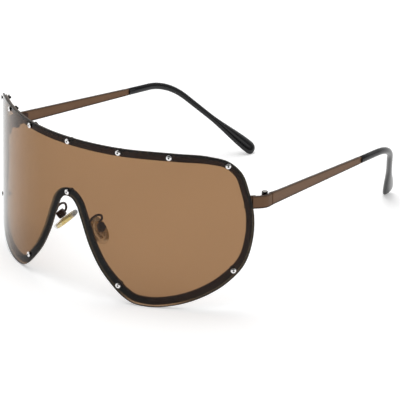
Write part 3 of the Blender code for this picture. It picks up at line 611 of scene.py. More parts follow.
# Extra points on a strip's flat faces, and how much painted shade each takes: from the bottom to
# the top of a face, and across the top and bottom edges
FACE_SHARES = ((-0.90, 0.8), (-0.72, 0.1), (0.0, 0.0), (0.72, 0.0), (0.95, 0.15))
EDGE_SHARES = ((-0.5, 0.9), (0.0, 1.0), (0.5, 0.9))
TOP_CORNER_DARK = 0.35
CORNER_STEPS = 4


def rounded_bar(thickness, height, corner):
    """Section of a strip with round corners, and how much painted shade each point takes."""
    a = thickness / 2 - corner
    b = height / 2 - corner
    section = []
    for n, (x, y) in enumerate(((a, b), (-a, b), (-a, -b), (a, -b))):
        for k in range(CORNER_STEPS + 1):
            turn = math.pi / 2 * (n + k / CORNER_STEPS)
            # Painted shade: the bottom corners take it fully, the top corners less
            dark = TOP_CORNER_DARK if y > 0 else 1.0
            section.append((x + corner * math.cos(turn), y + corner * math.sin(turn), dark))
        if n % 2:
            side = n - 2
            section += [(thickness / 2 * side, b * s, r) for s, r in FACE_SHARES[::side]]
        else:
            side = 1 - n
            section += [(-a * s * side, height / 2 * side, r) for s, r in EDGE_SHARES]
    return section


# %% [markdown]
# ## The lens blank
#
# A shield lens starts as a flat sheet. A router cuts its outline and drills its holes, and only
# then is it warmed and bent on a drum. The mesh is made in the same order: first the flat blank,
# from a table of outline points in shares of the lens's size, with a fine bevel round each edge.
# Upright cuts through the blank give it the points that it needs to bend smoothly.

# %% Lens sizes and outline
LENS_RADIUS = 0.0817
LENS_HALF_ARC = 0.0775
LENS_HEIGHT = 0.0643
LENS_THICKNESS = 0.0008
LENS_LEAN = math.radians(1.8)
LOBE_ARC = 0.0356
ARCH_HEIGHT = 0.0394
OUTER_SHARES = (
    (0.0, 0.994), (0.30, 0.995), (0.60, 1.0), (0.77, 0.988), (0.868, 0.953),
    (0.93, 0.885), (0.971, 0.76), (1.0, 0.60), (0.996, 0.45), (0.956, 0.293),
    (0.87, 0.178), (0.742, 0.082), (0.60, 0.022), (0.459, 0.0),
)
NOSE_SHARES = (
    (0.83, 0.021), (0.713, 0.08), (0.591, 0.178), (0.466, 0.299), (0.309, 0.53),
    (0.175, 0.825), (0.12, 0.935), (0.058, 0.988), (0.0, 1.0),
)
OUTLINE_STEPS = 9
SEAT_GAP = 0.0003
RIM_INSET = 0.0006
RIM_WIDTH = 0.00305
RIM_THICKNESS = 0.0008
RIM_WIDTH_SHARES = (
    (0.0, 1.0), (0.24, 1.0), (0.33, 0.79), (0.50, 0.79), (0.58, 1.0), (0.78, 1.0),
    (0.90, 0.80), (1.0, 0.75),
)


def mirror_flat(p):
    return Vector((-p.x, p.y, 0))


def half_outline():
    """Right half of the lens outline, flat, as (arc, height, 0)."""
    points = [Vector((a * LENS_HALF_ARC, h * LENS_HEIGHT, 0)) for a, h in OUTER_SHARES]
    points += [Vector((a * LOBE_ARC, h * ARCH_HEIGHT, 0)) for a, h in NOSE_SHARES]
    return smooth_curve(points, OUTLINE_STEPS, SIDEWAYS, -SIDEWAYS)


def inset(points, distance):
    """The half outline moved into the sheet."""
    line = [mirror_flat(points[1])] + points + [mirror_flat(points[-2])]
    moved = []
    for before, p, after in zip(line, points, line[2:]):
        first = (p - before).normalized()
        second = (after - p).normalized()
        normal = (first + second).normalized().cross(UP)
        moved.append(p + normal * distance / normal.dot(first.cross(UP)))
    return moved


def whole_loop(half_line):
    """Closed outline from its right half, whose ends lie on the centre line."""
    return half_line + [mirror_flat(p) for p in reversed(half_line[1:-1])]


def distances_left(line, end):
    """Distance left from each point to the end of the line."""
    gone = running_length(line + [end])
    return [gone[-1] - g for g in gone[:-1]]


def along(route, share):
    """Point at a share of a route's length."""
    spans = [(b - a).length for a, b in zip(route, route[1:])]
    left = share * sum(spans)
    i = 0
    while i < len(spans) - 1 and left > spans[i]:
        left -= spans[i]
        i += 1
    return route[i].lerp(route[i + 1], left / spans[i])


def rim_width_share(share):
    for (s, a), (t, b) in zip(RIM_WIDTH_SHARES, RIM_WIDTH_SHARES[1:]):
        if share <= t:
            return a + (b - a) * smooth_step((share - s) / (t - s))
    return RIM_WIDTH_SHARES[-1][1]


def rim_line(across):
    """Half line along the rim at a share of its width."""
    outline = half_outline()
    spans = distances_left(outline, outline[-1])
    line = []
    for a, b, left in zip(inset(outline, RIM_INSET), inset(outline, RIM_INSET + RIM_WIDTH), spans):
        line.append(a.lerp(b, across * rim_width_share(1 - left / spans[0])))
    return line


print("outline points", len(whole_loop(half_outline())))

# %% [markdown]
# The screw places belong to the flat blank too, because the holes are drilled before bending.
# They are given as shares: how far along the half outline, and how far across the rim.

# %% Screw places
SCREW_SHARES = (
    ("top_centre", 0.0, 0.40), ("nose", 1.0, 0.50), ("top_inner", 0.112, 0.38),
    ("top_middle", 0.2095, 0.38), ("top_outer", 0.320, 0.38), ("bottom_outer", 0.547, 0.58),
    ("bottom_inner", 0.7915, 0.58),
)
SHANK_RADIUS = 0.0005
BORE_GAP = 0.0002
HOLE_SIDES = 32

SCREW_PLACES = []  # name and flat place; the first two stand on the centre line
for name, share, across in SCREW_SHARES:
    spot = along(rim_line(across), share)
    if share in (0.0, 1.0):
        SCREW_PLACES.append((name, spot))
    else:
        SCREW_PLACES += [
            (name + "_" + label, Vector((spot.x * side, spot.y, 0))) for label, side in SIDES
        ]


def drilled(radius):
    """A round hole at each screw place."""
    turns = [math.tau * i / HOLE_SIDES for i in range(HOLE_SIDES)]
    circle = [Vector((math.cos(t), math.sin(t), 0)) * radius for t in turns]
    return [[spot + p for p in circle] for _, spot in SCREW_PLACES]


print("screws", len(SCREW_PLACES))

# %% [markdown]
# Cutting a sheet with holes into triangles is a job for a constrained Delaunay routine: it takes
# the outline, the holes and the upright cuts as edges that must stay, and returns triangles
# between them. The triangles outside the sheet are thrown away. Each boundary edge that remains
# then grows a bevel and a wall down to the back.

# %% Flat blank
FLAT_SPACING = 0.0012  # between the upright cuts
SHEET_BEVEL = 0.00012


def inside(point, loop):
    """True if a flat point lies within a closed outline."""
    crossings = 0
    for a, b in zip(loop, loop[1:] + loop[:1]):
        if (a.y > point.y) != (b.y > point.y):
            if point.x < a.x + (b.x - a.x) * (point.y - a.y) / (b.y - a.y):
                crossings += 1
    return crossings % 2 == 1


def cut_sheet(outline, holes, guides):
    """Flat points and triangles of a sheet; guides are lines that its points follow."""
    flat = []
    edges = []
    for loop in [outline] + holes + guides:
        start = len(flat)
        flat += [p.to_2d() for p in loop]
        edges += [(start + i, start + (i + 1) % len(loop)) for i in range(len(loop))]
    lines = int(LENS_HALF_ARC / FLAT_SPACING) + 1
    for i in range(-lines, lines + 1):
        edges.append((len(flat), len(flat) + 1))
        flat.append(Vector((i * FLAT_SPACING, -FLAT_SPACING)))
        flat.append(Vector((i * FLAT_SPACING, LENS_HEIGHT + FLAT_SPACING)))
    points, _, triangles, _, _, _ = delaunay_2d_cdt(flat, edges, [], 0, 1e-6)
    kept = []
    for triangle in triangles:
        middle = sum((points[i] for i in triangle), Vector((0, 0))) / len(triangle)
        if inside(middle, outline) and not any(inside(middle, hole) for hole in holes):
            kept.append(triangle)
    used = sorted({i for triangle in kept for i in triangle})
    place = {i: n for n, i in enumerate(used)}
    return [points[i] for i in used], [tuple(place[i] for i in t) for t in kept]


def border(triangles):
    """The next point for each point on the sheet's border, in the triangles' sense."""
    edges = set()
    for a, b, c in triangles:
        for edge in ((a, b), (b, c), (c, a)):
            if edge[::-1] in edges:
                edges.remove(edge[::-1])
            else:
                edges.add(edge)
    return dict(edges)


def blank(name, outline, holes, guides, front, back):
    """A flat bevelled sheet: x along the arc, y up, z out of its front."""
    flat, triangles = cut_sheet(outline, holes, guides)
    ahead = border(triangles)
    behind = {b: a for a, b in ahead.items()}
    count = len(flat)
    points = [Vector((p.x, p.y, -depth)) for depth in (front, back) for p in flat]
    index = {}
    for i, after in ahead.items():
        first = (flat[i] - flat[behind[i]]).normalized()
        second = (flat[after] - flat[i]).normalized()
        middle = (first + second).normalized()
        grown = flat[i] + Vector((middle.y, -middle.x)) * SHEET_BEVEL
        index[i] = len(points)
        for depth in (front + SHEET_BEVEL, back - SHEET_BEVEL):
            points.append(Vector((grown.x, grown.y, -depth)))
    faces = [tuple(t) for t in triangles]
    faces += [tuple(i + count for i in reversed(t)) for t in triangles]
    sheet_faces = len(faces)
    for i, j in ahead.items():
        faces.append((j, i, index[i], index[j]))
        faces.append((index[j], index[i], index[i] + 1, index[j] + 1))
        faces.append((index[j] + 1, index[i] + 1, i + count, j + count))
    obj = solid(name, points, faces, sharp=25)
    walls = [float(i >= sheet_faces) for i in range(len(faces))]
    keep_numbers(obj.data, "wall", walls, "FACE")
    return obj


# %% [markdown]
# ## Bending by rule
#
# The bend is a rule that holds for every point: the arc length becomes an angle on the drum, and
# the depth in the sheet shortens the radius. A Geometry Nodes tree states the rule once, with the
# radius and the lean as named inputs, and the same tree bends the lens and the rim behind it. A
# Simple Deform modifier could bend too, but it measures from the piece's own middle, and the rim
# would not follow the lens exactly.

# %% Geometry Nodes helpers
SOCKETS = {float: "NodeSocketFloat", int: "NodeSocketInt", Vector: "NodeSocketVector"}


def new_tree(name, sizes):
    """A Geometry Nodes tree with an input for each size; returns its bench and input wires."""
    tree = bpy.data.node_groups.new(name, "GeometryNodeTree")
    tree.interface.new_socket("Geometry", in_out="INPUT", socket_type="NodeSocketGeometry")
    for title, size in sizes.items():
        tree.interface.new_socket(title, in_out="INPUT", socket_type=SOCKETS[type(size)])
    tree.interface.new_socket("Geometry", in_out="OUTPUT", socket_type="NodeSocketGeometry")
    bench = Bench(tree)
    start = bench.node("NodeGroupInput").socket.node
    return bench, [Wire(bench, s) for s in start.outputs if s.name]


def finish_tree(bench, geometry, finish, wall_finish=None):
    """Realises the instances, gives the finish and closes the tree."""
    real = bench.node("GeometryNodeRealizeInstances", {}, {0: geometry})
    done = bench.node("GeometryNodeSetMaterial", {}, {0: real, "Material": finish})
    if wall_finish:
        is_wall = bench.node("GeometryNodeInputNamedAttribute", {}, {"Name": "wall"}, "Attribute")
        inputs = {0: done, "Selection": is_wall, "Material": wall_finish}
        done = bench.node("GeometryNodeSetMaterial", {}, inputs)
    bench.node("NodeGroupOutput", {}, {0: done})
    return bench.tree


def run_tree(obj, tree, sizes, sharp=35):
    """Runs a tree on an object and keeps the result as its plain mesh."""
    step = obj.modifiers.new(tree.name, "NODES")
    step.node_group = tree
    for item in tree.interface.items_tree:
        if item.in_out == "INPUT" and item.name in sizes:
            step[item.identifier] = sizes[item.name]
    depsgraph = bpy.context.evaluated_depsgraph_get()
    mesh = bpy.data.meshes.new_from_object(
        obj.evaluated_get(depsgraph), preserve_all_data_layers=True, depsgraph=depsgraph
    )
    obj.modifiers.remove(step)
    obj.data = mesh
    smooth_shading(mesh, sharp)


# %% The bending tree
LEAN = Matrix.Rotation(-LENS_LEAN, 3, "X")


def on_sheet(arc, height, depth=0.0):
    """The bend's rule for single points, before the glasses are set on the floor."""
    turn = arc / LENS_RADIUS
    reach = LENS_RADIUS - depth
    return LEAN @ Vector((reach * math.sin(turn), LENS_RADIUS - reach * math.cos(turn), height))


def out_of_sheet(arc):
    """Direction square to the sheet, away from the wearer."""
    turn = arc / LENS_RADIUS
    return LEAN @ Vector((math.sin(turn), -math.cos(turn), 0))


bent_outline = [on_sheet(p.x, p.y, d) for p in half_outline() for d in (0, LENS_THICKNESS)]
solid_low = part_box("lens_shield")[0]
PLACE = Vector((0, solid_low.y, solid_low.z)) - Vector(
    (0, min(p.y for p in bent_outline), min(p.z for p in bent_outline))
)
BEND_SIZES = {"Radius": LENS_RADIUS, "Lean": LENS_LEAN, "Place": PLACE}


def set_down(rings):
    """Rings moved to where the solids stand."""
    return [[p + PLACE for p in ring] for ring in rings]


def bend(obj, finish, wall_finish=None):
    """The same rule as a tree, run on a flat blank."""
    bench, (geometry, radius, lean, place) = new_tree("bend_" + obj.name, BEND_SIZES)
    position = bench.node("GeometryNodeInputPosition")
    arc, height, out = (bench.axis(position, letter) for letter in "XYZ")
    turn = arc / radius
    reach = radius + out
    back = radius - reach * turn.cosine()
    bent = {
        "X": reach * turn.sine(),
        "Y": back * lean.cosine() + height * lean.sine(),
        "Z": height * lean.cosine() - back * lean.sine(),
    }
    bent = bench.node("ShaderNodeCombineXYZ", {}, bent)
    placed = bench.node("ShaderNodeVectorMath", {"operation": "ADD"}, {0: bent, 1: place})
    moved = bench.node("GeometryNodeSetPosition", {}, {0: geometry, "Position": placed})
    run_tree(obj, finish_tree(bench, moved, finish, wall_finish), BEND_SIZES, 25)


print("the sheet's origin stands at", [round(v, 6) for v in PLACE])

# %% [markdown]
# ## Lens
#
# Along the top, the outer sides and the nose the lens looks dark right up to its edge, and at the
# foot of the lobes there is a thin clear sliver outside the rim. The dark border is painted shade,
# which stands in for the dark rim seen through the sheet and for its edge seen sideways, and it is
# wider along the arch. The sliver is a painted highlight on the bevel. Both go in as numbers at
# each point, so guide lines are cut into the blank to give the numbers points to sit on.

# %% Lens
BORDER_SHADE_LINES = (0.0008, 0.0012)  # where the painted border shade starts and has faded
ARCH_BORDER_SHADE_LINES = (0.0030, 0.0034)
PALE_LINES = (0.0004, 0.0007)
PALE_SHARE = 0.42
CLEAR_BELOW = 0.006  # height under which the border stays clear


def border_share(point, line, lines):
    """1 within the first distance from a line of points, 0 beyond the second."""
    full, gone = lines
    nearest = min((point - p).length for p in line)
    return 1 - smooth_step((nearest - full) / (gone - full))


outline = whole_loop(half_outline())
arch_line = [p.to_2d() for p in outline if p.y < ARCH_HEIGHT * 1.01 and abs(p.x) < LOBE_ARC]
outer_line = [p.to_2d() for p in outline]
guides = [
    whole_loop(inset(half_outline(), d)) for d in PALE_LINES + BORDER_SHADE_LINES + ARCH_BORDER_SHADE_LINES
]
bore = SHANK_RADIUS + BORE_GAP
holes = drilled(bore + SHEET_BEVEL)
lens_line = whole_loop(inset(half_outline(), SHEET_BEVEL))
lens = blank("lens", lens_line, holes, guides, 0.0, LENS_THICKNESS)
painted_border_shades = []
pales = []
for point in [v.co.to_2d() for v in lens.data.vertices]:
    # Painted shade: the lens is darkened along its border, and wider along the arch, where the dark
    # rim behind shows
    dark = max(
        border_share(point, outer_line, BORDER_SHADE_LINES),
        border_share(point, arch_line, ARCH_BORDER_SHADE_LINES),
    )
    painted_border_shades.append(dark * smooth_step(point.y / CLEAR_BELOW))
    # Painted highlight: the bevel at the foot of the lobes is made paler
    pale = PALE_SHARE * border_share(point, outer_line, PALE_LINES)
    pales.append(pale * (1 - smooth_step(2 * point.y / CLEAR_BELOW)))
keep_numbers(lens.data, "margin", painted_border_shades)
keep_numbers(lens.data, "pale", pales)
bend(lens, lens_finish, lens_edge_finish)
fit(lens, "front", "brown_lens", (lens_finish, lens_edge_finish), "lens_shield")

# %% [markdown]
# ## Rim
#
# The rim is the same kind of sheet in metal with one large window, bent on the same drum but
# deeper in. Only the flat pattern differs, so the same helpers make it.

# %% Rim
RIM_FRONT = LENS_THICKNESS + SEAT_GAP
RIM_BACK = RIM_FRONT + RIM_THICKNESS
rim_outer = whole_loop(inset(rim_line(0), SHEET_BEVEL))
rim_window = whole_loop(inset(rim_line(1), -SHEET_BEVEL))
rim = blank("rim", rim_outer, [rim_window] + holes, [], RIM_FRONT, RIM_BACK)
bend(rim, rim_metal)
fit(rim, "front", "brown_metal", (rim_metal,), "rim_frame")

# %% [markdown]
# ## Turned pieces by rule
#
# A screw and a nut are turned on a lathe: one profile, carried round an axis. Here a grid is
# rolled up the same way. Its rows take their radius and height from the profile's list, its
# columns are the steps round the axis, and merging close points closes the seam and the poles.
# The third number of a row is how much painted shade the surface takes there, or on the hinge pins
# how much painted highlight. For a nut it says instead how far the hexagon's corners stand out of
# the circle. The finished piece is then set on every
# screw place, square to the curved sheet. Placing twelve screws by hand would work as well, but a
# change of the lens would leave them behind.


# %% Lathe in nodes
def pick(bench, row, values):
    """The value that belongs to a row."""
    inputs = {"Index": row}
    inputs.update({i + 1: value for i, value in enumerate(values)})
    settings = {"data_type": "FLOAT", "items": len(values)}
    return bench.node("GeometryNodeIndexSwitch", settings, inputs)


def lathe(bench, profile, segments, hexagonal):
    """A turned body from rows of radius, height and shade."""
    rows = len(profile)
    radii, heights, shades = zip(*profile)
    grid = bench.node("GeometryNodeMeshGrid", {}, {"Vertices X": segments + 1, "Vertices Y": rows})
    index = bench.node("GeometryNodeInputIndex")
    row, column = (
        bench.node("FunctionNodeIntegerMath", {"operation": operation}, {0: index, 1: rows})
        for operation in ("MODULO", "DIVIDE_FLOOR")
    )
    turn = column * (math.tau / segments)
    radius = pick(bench, row, radii)
    if hexagonal:
        wrapped = turn.maths("WRAP", turn, math.tau / 12, -math.tau / 12)
        radius = radius * (1 + (1 / wrapped.cosine() - 1) * pick(bench, row, shades))
    place = {"X": radius * turn.cosine(), "Y": radius * turn.sine(), "Z": pick(bench, row, heights)}
    place = bench.node("ShaderNodeCombineXYZ", {}, place)
    rolled = bench.node("GeometryNodeSetPosition", {}, {0: grid, "Position": place})
    if not hexagonal:
        inputs = {0: rolled, "Name": "rounded", "Value": pick(bench, row, shades)}
        rolled = bench.node("GeometryNodeStoreNamedAttribute", {"data_type": "FLOAT"}, inputs)
    return bench.node("GeometryNodeMergeByDistance", {}, {0: rolled, "Distance": 1e-7})


def on_places(bench, places, piece):
    """The piece set on every place, turned square to the sheet."""
    vector = {"data_type": "FLOAT_VECTOR"}
    outward = bench.node(
        "GeometryNodeInputNamedAttribute", vector, {"Name": "outward"}, "Attribute"
    )
    spin = bench.node("FunctionNodeRandomValue", vector, {"Max": (0.0, 0.0, math.tau), "Seed": 7})
    upright = bench.node(
        "FunctionNodeAlignRotationToVector", {"axis": "Z"}, {"Rotation": spin, "Vector": outward}
    )
    inputs = {"Points": places, "Instance": piece, "Rotation": upright}
    return bench.node("GeometryNodeInstanceOnPoints", {}, inputs)


def volume(obj):
    """Signed volume in cubic millimetres; a negative one has its faces inwards."""
    work = bmesh.new()
    work.from_mesh(obj.data)
    size = work.calc_volume(signed=True) * 1e9
    work.free()
    return round(size, 2)


def turned(name, places, sizes, profile_of, segments, finish, hexagonal=False):
    """Turns one piece by its profile's rule and sets it on every (place, direction)."""
    mesh = bpy.data.meshes.new(name)
    mesh.from_pydata([place + PLACE for place, _ in places], [], [])
    outward = mesh.attributes.new("outward", "FLOAT_VECTOR", "POINT")
    outward.data.foreach_set("vector", [v for _, direction in places for v in direction])
    obj = put(name, mesh)
    bench, (points, *wires) = new_tree("turn_" + name, sizes)
    piece = lathe(bench, profile_of(*wires), segments, hexagonal)
    run_tree(obj, finish_tree(bench, on_places(bench, points, piece), finish), sizes)
    print(name, "volume", volume(obj))
    return obj


# %% Lens screws
NUT_FRONT = RIM_BACK + SEAT_GAP
NUT_HEIGHT = 0.0007
SHANK_END = 0.0006
SCREW_SIZES = {
    "Head Radius": 0.0011, "Head Height": 0.0005, "Seat": SEAT_GAP, "Shank Radius": SHANK_RADIUS,
    "Shank Length": NUT_FRONT + NUT_HEIGHT + SHANK_END,
}
DOME_STEPS = 9
DOME_EDGE = 0.18  # of the head's height, upright at its foot
RECESS_RADIUS_SHARE = 0.30
RECESS_DEPTH_SHARE = 0.55
RECESS_FLOOR_SHARE = 0.72  # of the recess's radius
RECESS_CONE_SHARE = 0.02  # of the head's height, from its floor's edge to its middle
SHANK_CHAMFER_SHARE = 0.3
HEAD_UNDERSIDE_SHARE = 0.96
# Painted shade round the dome's foot and at the recess's edge; the recess, the underside and the
# shank take it fully
RIM_PAINTED_SHADE, RECESS_EDGE_PAINTED_SHADE = 0.9, 0.6


def screw_profile(radius, height, seat, shank, length):
    chamfer = shank * SHANK_CHAMFER_SHARE
    rows = [(0.0, -length, 1.0), (shank - chamfer, -length, 1.0), (shank, chamfer - length, 1.0)]
    rows += [(shank, seat, 1.0), (radius * HEAD_UNDERSIDE_SHARE, seat, 1.0)]
    start = math.asin(RECESS_RADIUS_SHARE)
    for i in range(DOME_STEPS, -1, -1):
        turn = start + (math.pi / 2 - start) * i / DOME_STEPS
        up = seat + height * (DOME_EDGE + (1 - DOME_EDGE) * math.cos(turn))
        painted_shade = {DOME_STEPS: RIM_PAINTED_SHADE, 0: RECESS_EDGE_PAINTED_SHADE}.get(i, 0.0)
        rows.append((radius * math.sin(turn), up, painted_shade))
    recess = radius * RECESS_RADIUS_SHARE
    floor = seat + height * (1 - RECESS_DEPTH_SHARE)
    rows.append((recess * RECESS_FLOOR_SHARE, floor + height * RECESS_CONE_SHARE, 1.0))
    return rows + [(0.0, floor, 1.0)]


SHEET_PLACES = [(on_sheet(p.x, p.y), out_of_sheet(p.x)) for _, p in SCREW_PLACES]
screws = turned("lens_screws", SHEET_PLACES, SCREW_SIZES, screw_profile, 32, steel)
screw_nodes = ["lens_screw_" + name for name, _ in SCREW_PLACES]
fit(screws, "front", "polished_steel", (steel,), *screw_nodes)

# %% Lens nuts
NUT_SIZES = {
    "Across Flats": 0.0019, "Chamfer": 0.00015, "Bore": bore, "Front": NUT_FRONT,
    "Height": NUT_HEIGHT,
}


def nut_profile(across_flats, chamfer, bore_radius, front, height):
    wall = across_flats * 0.5
    top = -front
    bottom = top - height
    rows = [(bore_radius, bottom, 0.0), (wall, bottom, 0.35), (wall, bottom + chamfer, 1.0)]
    rows += [(wall, top - chamfer, 1.0), (wall, top, 0.35), (bore_radius, top, 0.0)]
    return rows + rows[:1]


nuts = turned("lens_nuts", SHEET_PLACES, NUT_SIZES, nut_profile, 48, dark_metal, True)
nut_nodes = ["lens_nut_" + name for name, _ in SCREW_PLACES]
fit(nuts, "front", "dark_metal", (dark_metal,), *nut_nodes)

# %% [markdown]
# ## Where the hinge stands
#
# Endpiece, hinge and temple are set out from one point, the seam where the two strips meet. The
# temple leaves it backwards, a little inwards and a little down.

# %% Hinge layout
SEAM_OUTWARD = 0.00161
SEAM_BEHIND = 0.00799
SEAM_HEIGHT = 0.0428
STRIP_THICKNESS = 0.0013
STRIP_HALF = STRIP_THICKNESS / 2
STRIP_CORNER = 0.00028
TEMPLE_INWARD = math.radians(4.75)
TEMPLE_DROP = math.radians(4.05)
BARREL_RADIUS = 0.00125
AXIS_AHEAD = 0.0011
END_TRIM = 0.00008  # a strip's cut ends are slightly rounded


def slanted(inward, drop):
    level = Vector((-math.sin(inward), math.cos(inward), 0))
    return level * math.cos(drop) - UP * math.sin(drop)


lens_side = on_sheet(LENS_HALF_ARC, SEAM_HEIGHT)
SEAM = Vector((lens_side.x + SEAM_OUTWARD, lens_side.y + SEAM_BEHIND, SEAM_HEIGHT))
AHEAD = slanted(TEMPLE_INWARD, TEMPLE_DROP)
BACK = slanted(TEMPLE_INWARD, 0.0)
OUT = BACK.cross(UP)
HINGE_AXIS = SEAM - OUT * (STRIP_HALF + SEAT_GAP + BARREL_RADIUS) - BACK * AXIS_AHEAD


def strip(name, route, section, label, side, body, node):
    """A strip along a route, from sections of (across, up, painted shade and tone), set on the
    floor.
    """
    rounded = [share for i in range(len(route)) for _, _, share in section(i)]
    piece = solid(name + label, *skin(set_down(sweep(route, section))), rounded, side)
    fit(piece, body, "brown_metal", (brown_metal,), node + label)


# %% [markdown]
# ## Endpieces
#
# Each endpiece is one strip: a thin lap behind the rim, a short slope beside the lens's edge, and
# a bend backwards to the seam. A section is carried along the route and its thickness changes
# where the lap ends.

# %% Endpieces
ENDPIECE_ROOT_HEIGHT = 0.0051
SEAM_STRIP_HEIGHT = 0.0050
ENDPIECE_OVERLAP = 0.0036
LAP_THICKNESS = 0.0008
LAP_SHARE = 0.915  # of the overlap, just outside the rim
ENDPIECE_TONE = 0.12  # its plating is a little darker than the temples'
ENDPIECE_CORNER = 0.0034
ENDPIECE_BEND = 0.0020
BEND_STEPS = 12
LAP_STEPS = (0.0, 0.04, 0.5, LAP_SHARE, LAP_SHARE + 0.01)
SLOPE_STEPS = (0.3, 0.34, 0.5, 0.7, 0.9)


def endpiece_route():
    """Middle line of the strip: lap, edge of the lens, bend and seam."""
    depth = RIM_FRONT + STRIP_HALF
    edge = on_sheet(LENS_HALF_ARC, SEAM.z, depth)
    root = on_sheet(LENS_HALF_ARC - ENDPIECE_OVERLAP, SEAM.z, depth)
    edge.z = root.z = SEAM.z
    corner = SEAM - BACK * ENDPIECE_CORNER
    enter = corner + (edge - corner).normalized() * ENDPIECE_BEND
    leave = corner + BACK * ENDPIECE_BEND
    route = [root.lerp(edge, t) for t in LAP_STEPS] + [edge.lerp(enter, t) for t in SLOPE_STEPS]
    for i in range(BEND_STEPS + 1):
        t = i / BEND_STEPS
        route.append(enter.lerp(corner, t).lerp(corner.lerp(leave, t), t))
    end = SEAM - BACK * SEAT_GAP / 2
    return route + [leave.lerp(end, t) for t in (0.5, 0.97, 1.0)]


def endpiece(label, side):
    route = endpiece_route()
    lap_front = RIM_FRONT + STRIP_HALF - NUT_FRONT
    grows = len(LAP_STEPS) - 1

    def section(i):
        share = smooth_step(i / len(route))
        high = ENDPIECE_ROOT_HEIGHT + (SEAM_STRIP_HEIGHT - ENDPIECE_ROOT_HEIGHT) * share
        front = lap_front if i < grows else STRIP_HALF
        rear = lap_front - LAP_THICKNESS if i <= grows + 1 else -STRIP_HALF
        trim = END_TRIM if i in (0, len(route) - 1) else 0.0
        bar = rounded_bar(front - rear - trim, high - trim, STRIP_CORNER)
        return [(a + (front + rear) / 2, b, max(r, ENDPIECE_TONE)) for a, b, r in bar]

    strip("endpiece_strip_", route, section, label, side, "front", "endpiece_")


for label, side in SIDES:
    endpiece(label, side)

# %% [markdown]
# ## Temples and their tips
#
# The temple is a flat strip that tapers to a thin core wire, and a plastic sleeve is pushed over
# the wire. The sleeve carries on in line, then bends down behind the ear and widens to a paddle.

# %% Temples
TEMPLE_LENGTH = 0.0654
TEMPLE_END_HEIGHT = 0.0029
STRIP_STEPS = 24


def temple(label, side):
    start = SEAM + BACK * SEAT_GAP / 2
    square = start + BACK * STRIP_THICKNESS
    joint = SEAM + AHEAD * TEMPLE_LENGTH
    route = [start, start.lerp(square, 0.06)]
    route += [square.lerp(joint, i / STRIP_STEPS) for i in range(STRIP_STEPS + 1)]
    total = (joint - start).length

    def section(i):
        share = min((route[i] - square).length / total, 1) if i > 2 else 0
        high = SEAM_STRIP_HEIGHT + (TEMPLE_END_HEIGHT - SEAM_STRIP_HEIGHT) * share
        trim = END_TRIM if i in (0, len(route) - 1) else 0.0
        return rounded_bar(STRIP_THICKNESS - trim, high - trim, STRIP_CORNER)

    strip("temple_strip_", route, section, label, side, "temple_" + label, "temple_")


for label, side in SIDES:
    temple(label, side)

# %% Temple tips
TIP_SEAM = 0.00003  # the sleeve is pushed up to the strip
TIP_RUN = 0.0237
TIP_BEND_RADIUS = 0.026
TIP_INWARD = math.radians(36.4)
TIP_DROP = math.radians(42.1)
TIP_TWIST = math.radians(13)
TIP_ROOT = (0.0025, 0.0031)  # thickness and width
TIP_NECK = (0.0024, 0.0026)
PADDLE = (0.0028, 0.0062)
PADDLE_LENGTH = 0.0280
PADDLE_ROUND = 0.0038
PADDLE_POWER = 2.6
TIP_SIDES = 36
TIP_FIRST_SIZE = 0.94  # its mouth is slightly rounded
TIP_STEPS = 16  # rings along the dropping run
PADDLE_STEPS = (0.2, 0.38, 0.53, 0.66, 0.77, 0.86, 0.93, 0.975)
DOWN = slanted(TIP_INWARD, TIP_DROP)


def tip_start():
    """The sleeve's straight start and its bend, in line with the temple."""
    start = SEAM + AHEAD * TEMPLE_LENGTH
    corner = start + AHEAD * TIP_RUN
    half_turn = AHEAD.angle(DOWN) / 2
    cut = TIP_BEND_RADIUS * math.tan(half_turn)
    centre = corner + (DOWN - AHEAD).normalized() * TIP_BEND_RADIUS / math.cos(half_turn)
    bend = []
    for i in range(BEND_STEPS * 2 + 1):
        chord = (corner - AHEAD * cut).lerp(corner + DOWN * cut, i / (BEND_STEPS * 2))
        bend.append(centre + (chord - centre).normalized() * TIP_BEND_RADIUS)
    root = start + AHEAD * TIP_SEAM
    return [root, root.lerp(bend[0], 0.02), root.lerp(bend[0], 0.5)] + bend


def tip_line(length):
    """Points of the tip's middle line, and its end, for a length of its dropping run."""
    line = tip_start()
    turned_down = line[-1]
    straight = length - PADDLE_ROUND
    line += [turned_down + DOWN * straight * (i + 1) / TIP_STEPS for i in range(TIP_STEPS)]
    line += [turned_down + DOWN * (straight + PADDLE_ROUND * share) for share in PADDLE_STEPS]
    return line, turned_down + DOWN * length


def blend_of(first, second, share):
    return [a + (b - a) * share for a, b in zip(first, second)]


def tip_rings(line, left):
    """Sections of the sleeve: root, neck, then the paddle with its round end."""

    def section(i):
        widen = smooth_step(1 - (left[i] - PADDLE_ROUND) / (PADDLE_LENGTH - PADDLE_ROUND))
        narrow = smooth_step((left[0] - left[i]) / (left[0] - PADDLE_LENGTH))
        thick, wide = blend_of(blend_of(TIP_ROOT, TIP_NECK, narrow), PADDLE, widen)
        end = max(0, 1 - left[i] / PADDLE_ROUND)
        size = (1 - end**PADDLE_POWER) ** (1 / PADDLE_POWER) if i else TIP_FIRST_SIZE
        cos, sin = math.cos(TIP_TWIST * narrow), math.sin(TIP_TWIST * narrow)
        ring = oval(thick * size, wide * size, TIP_SIDES)
        return [(a * cos + b * sin, b * cos - a * sin) for a, b in ring]

    return sweep(line, section)


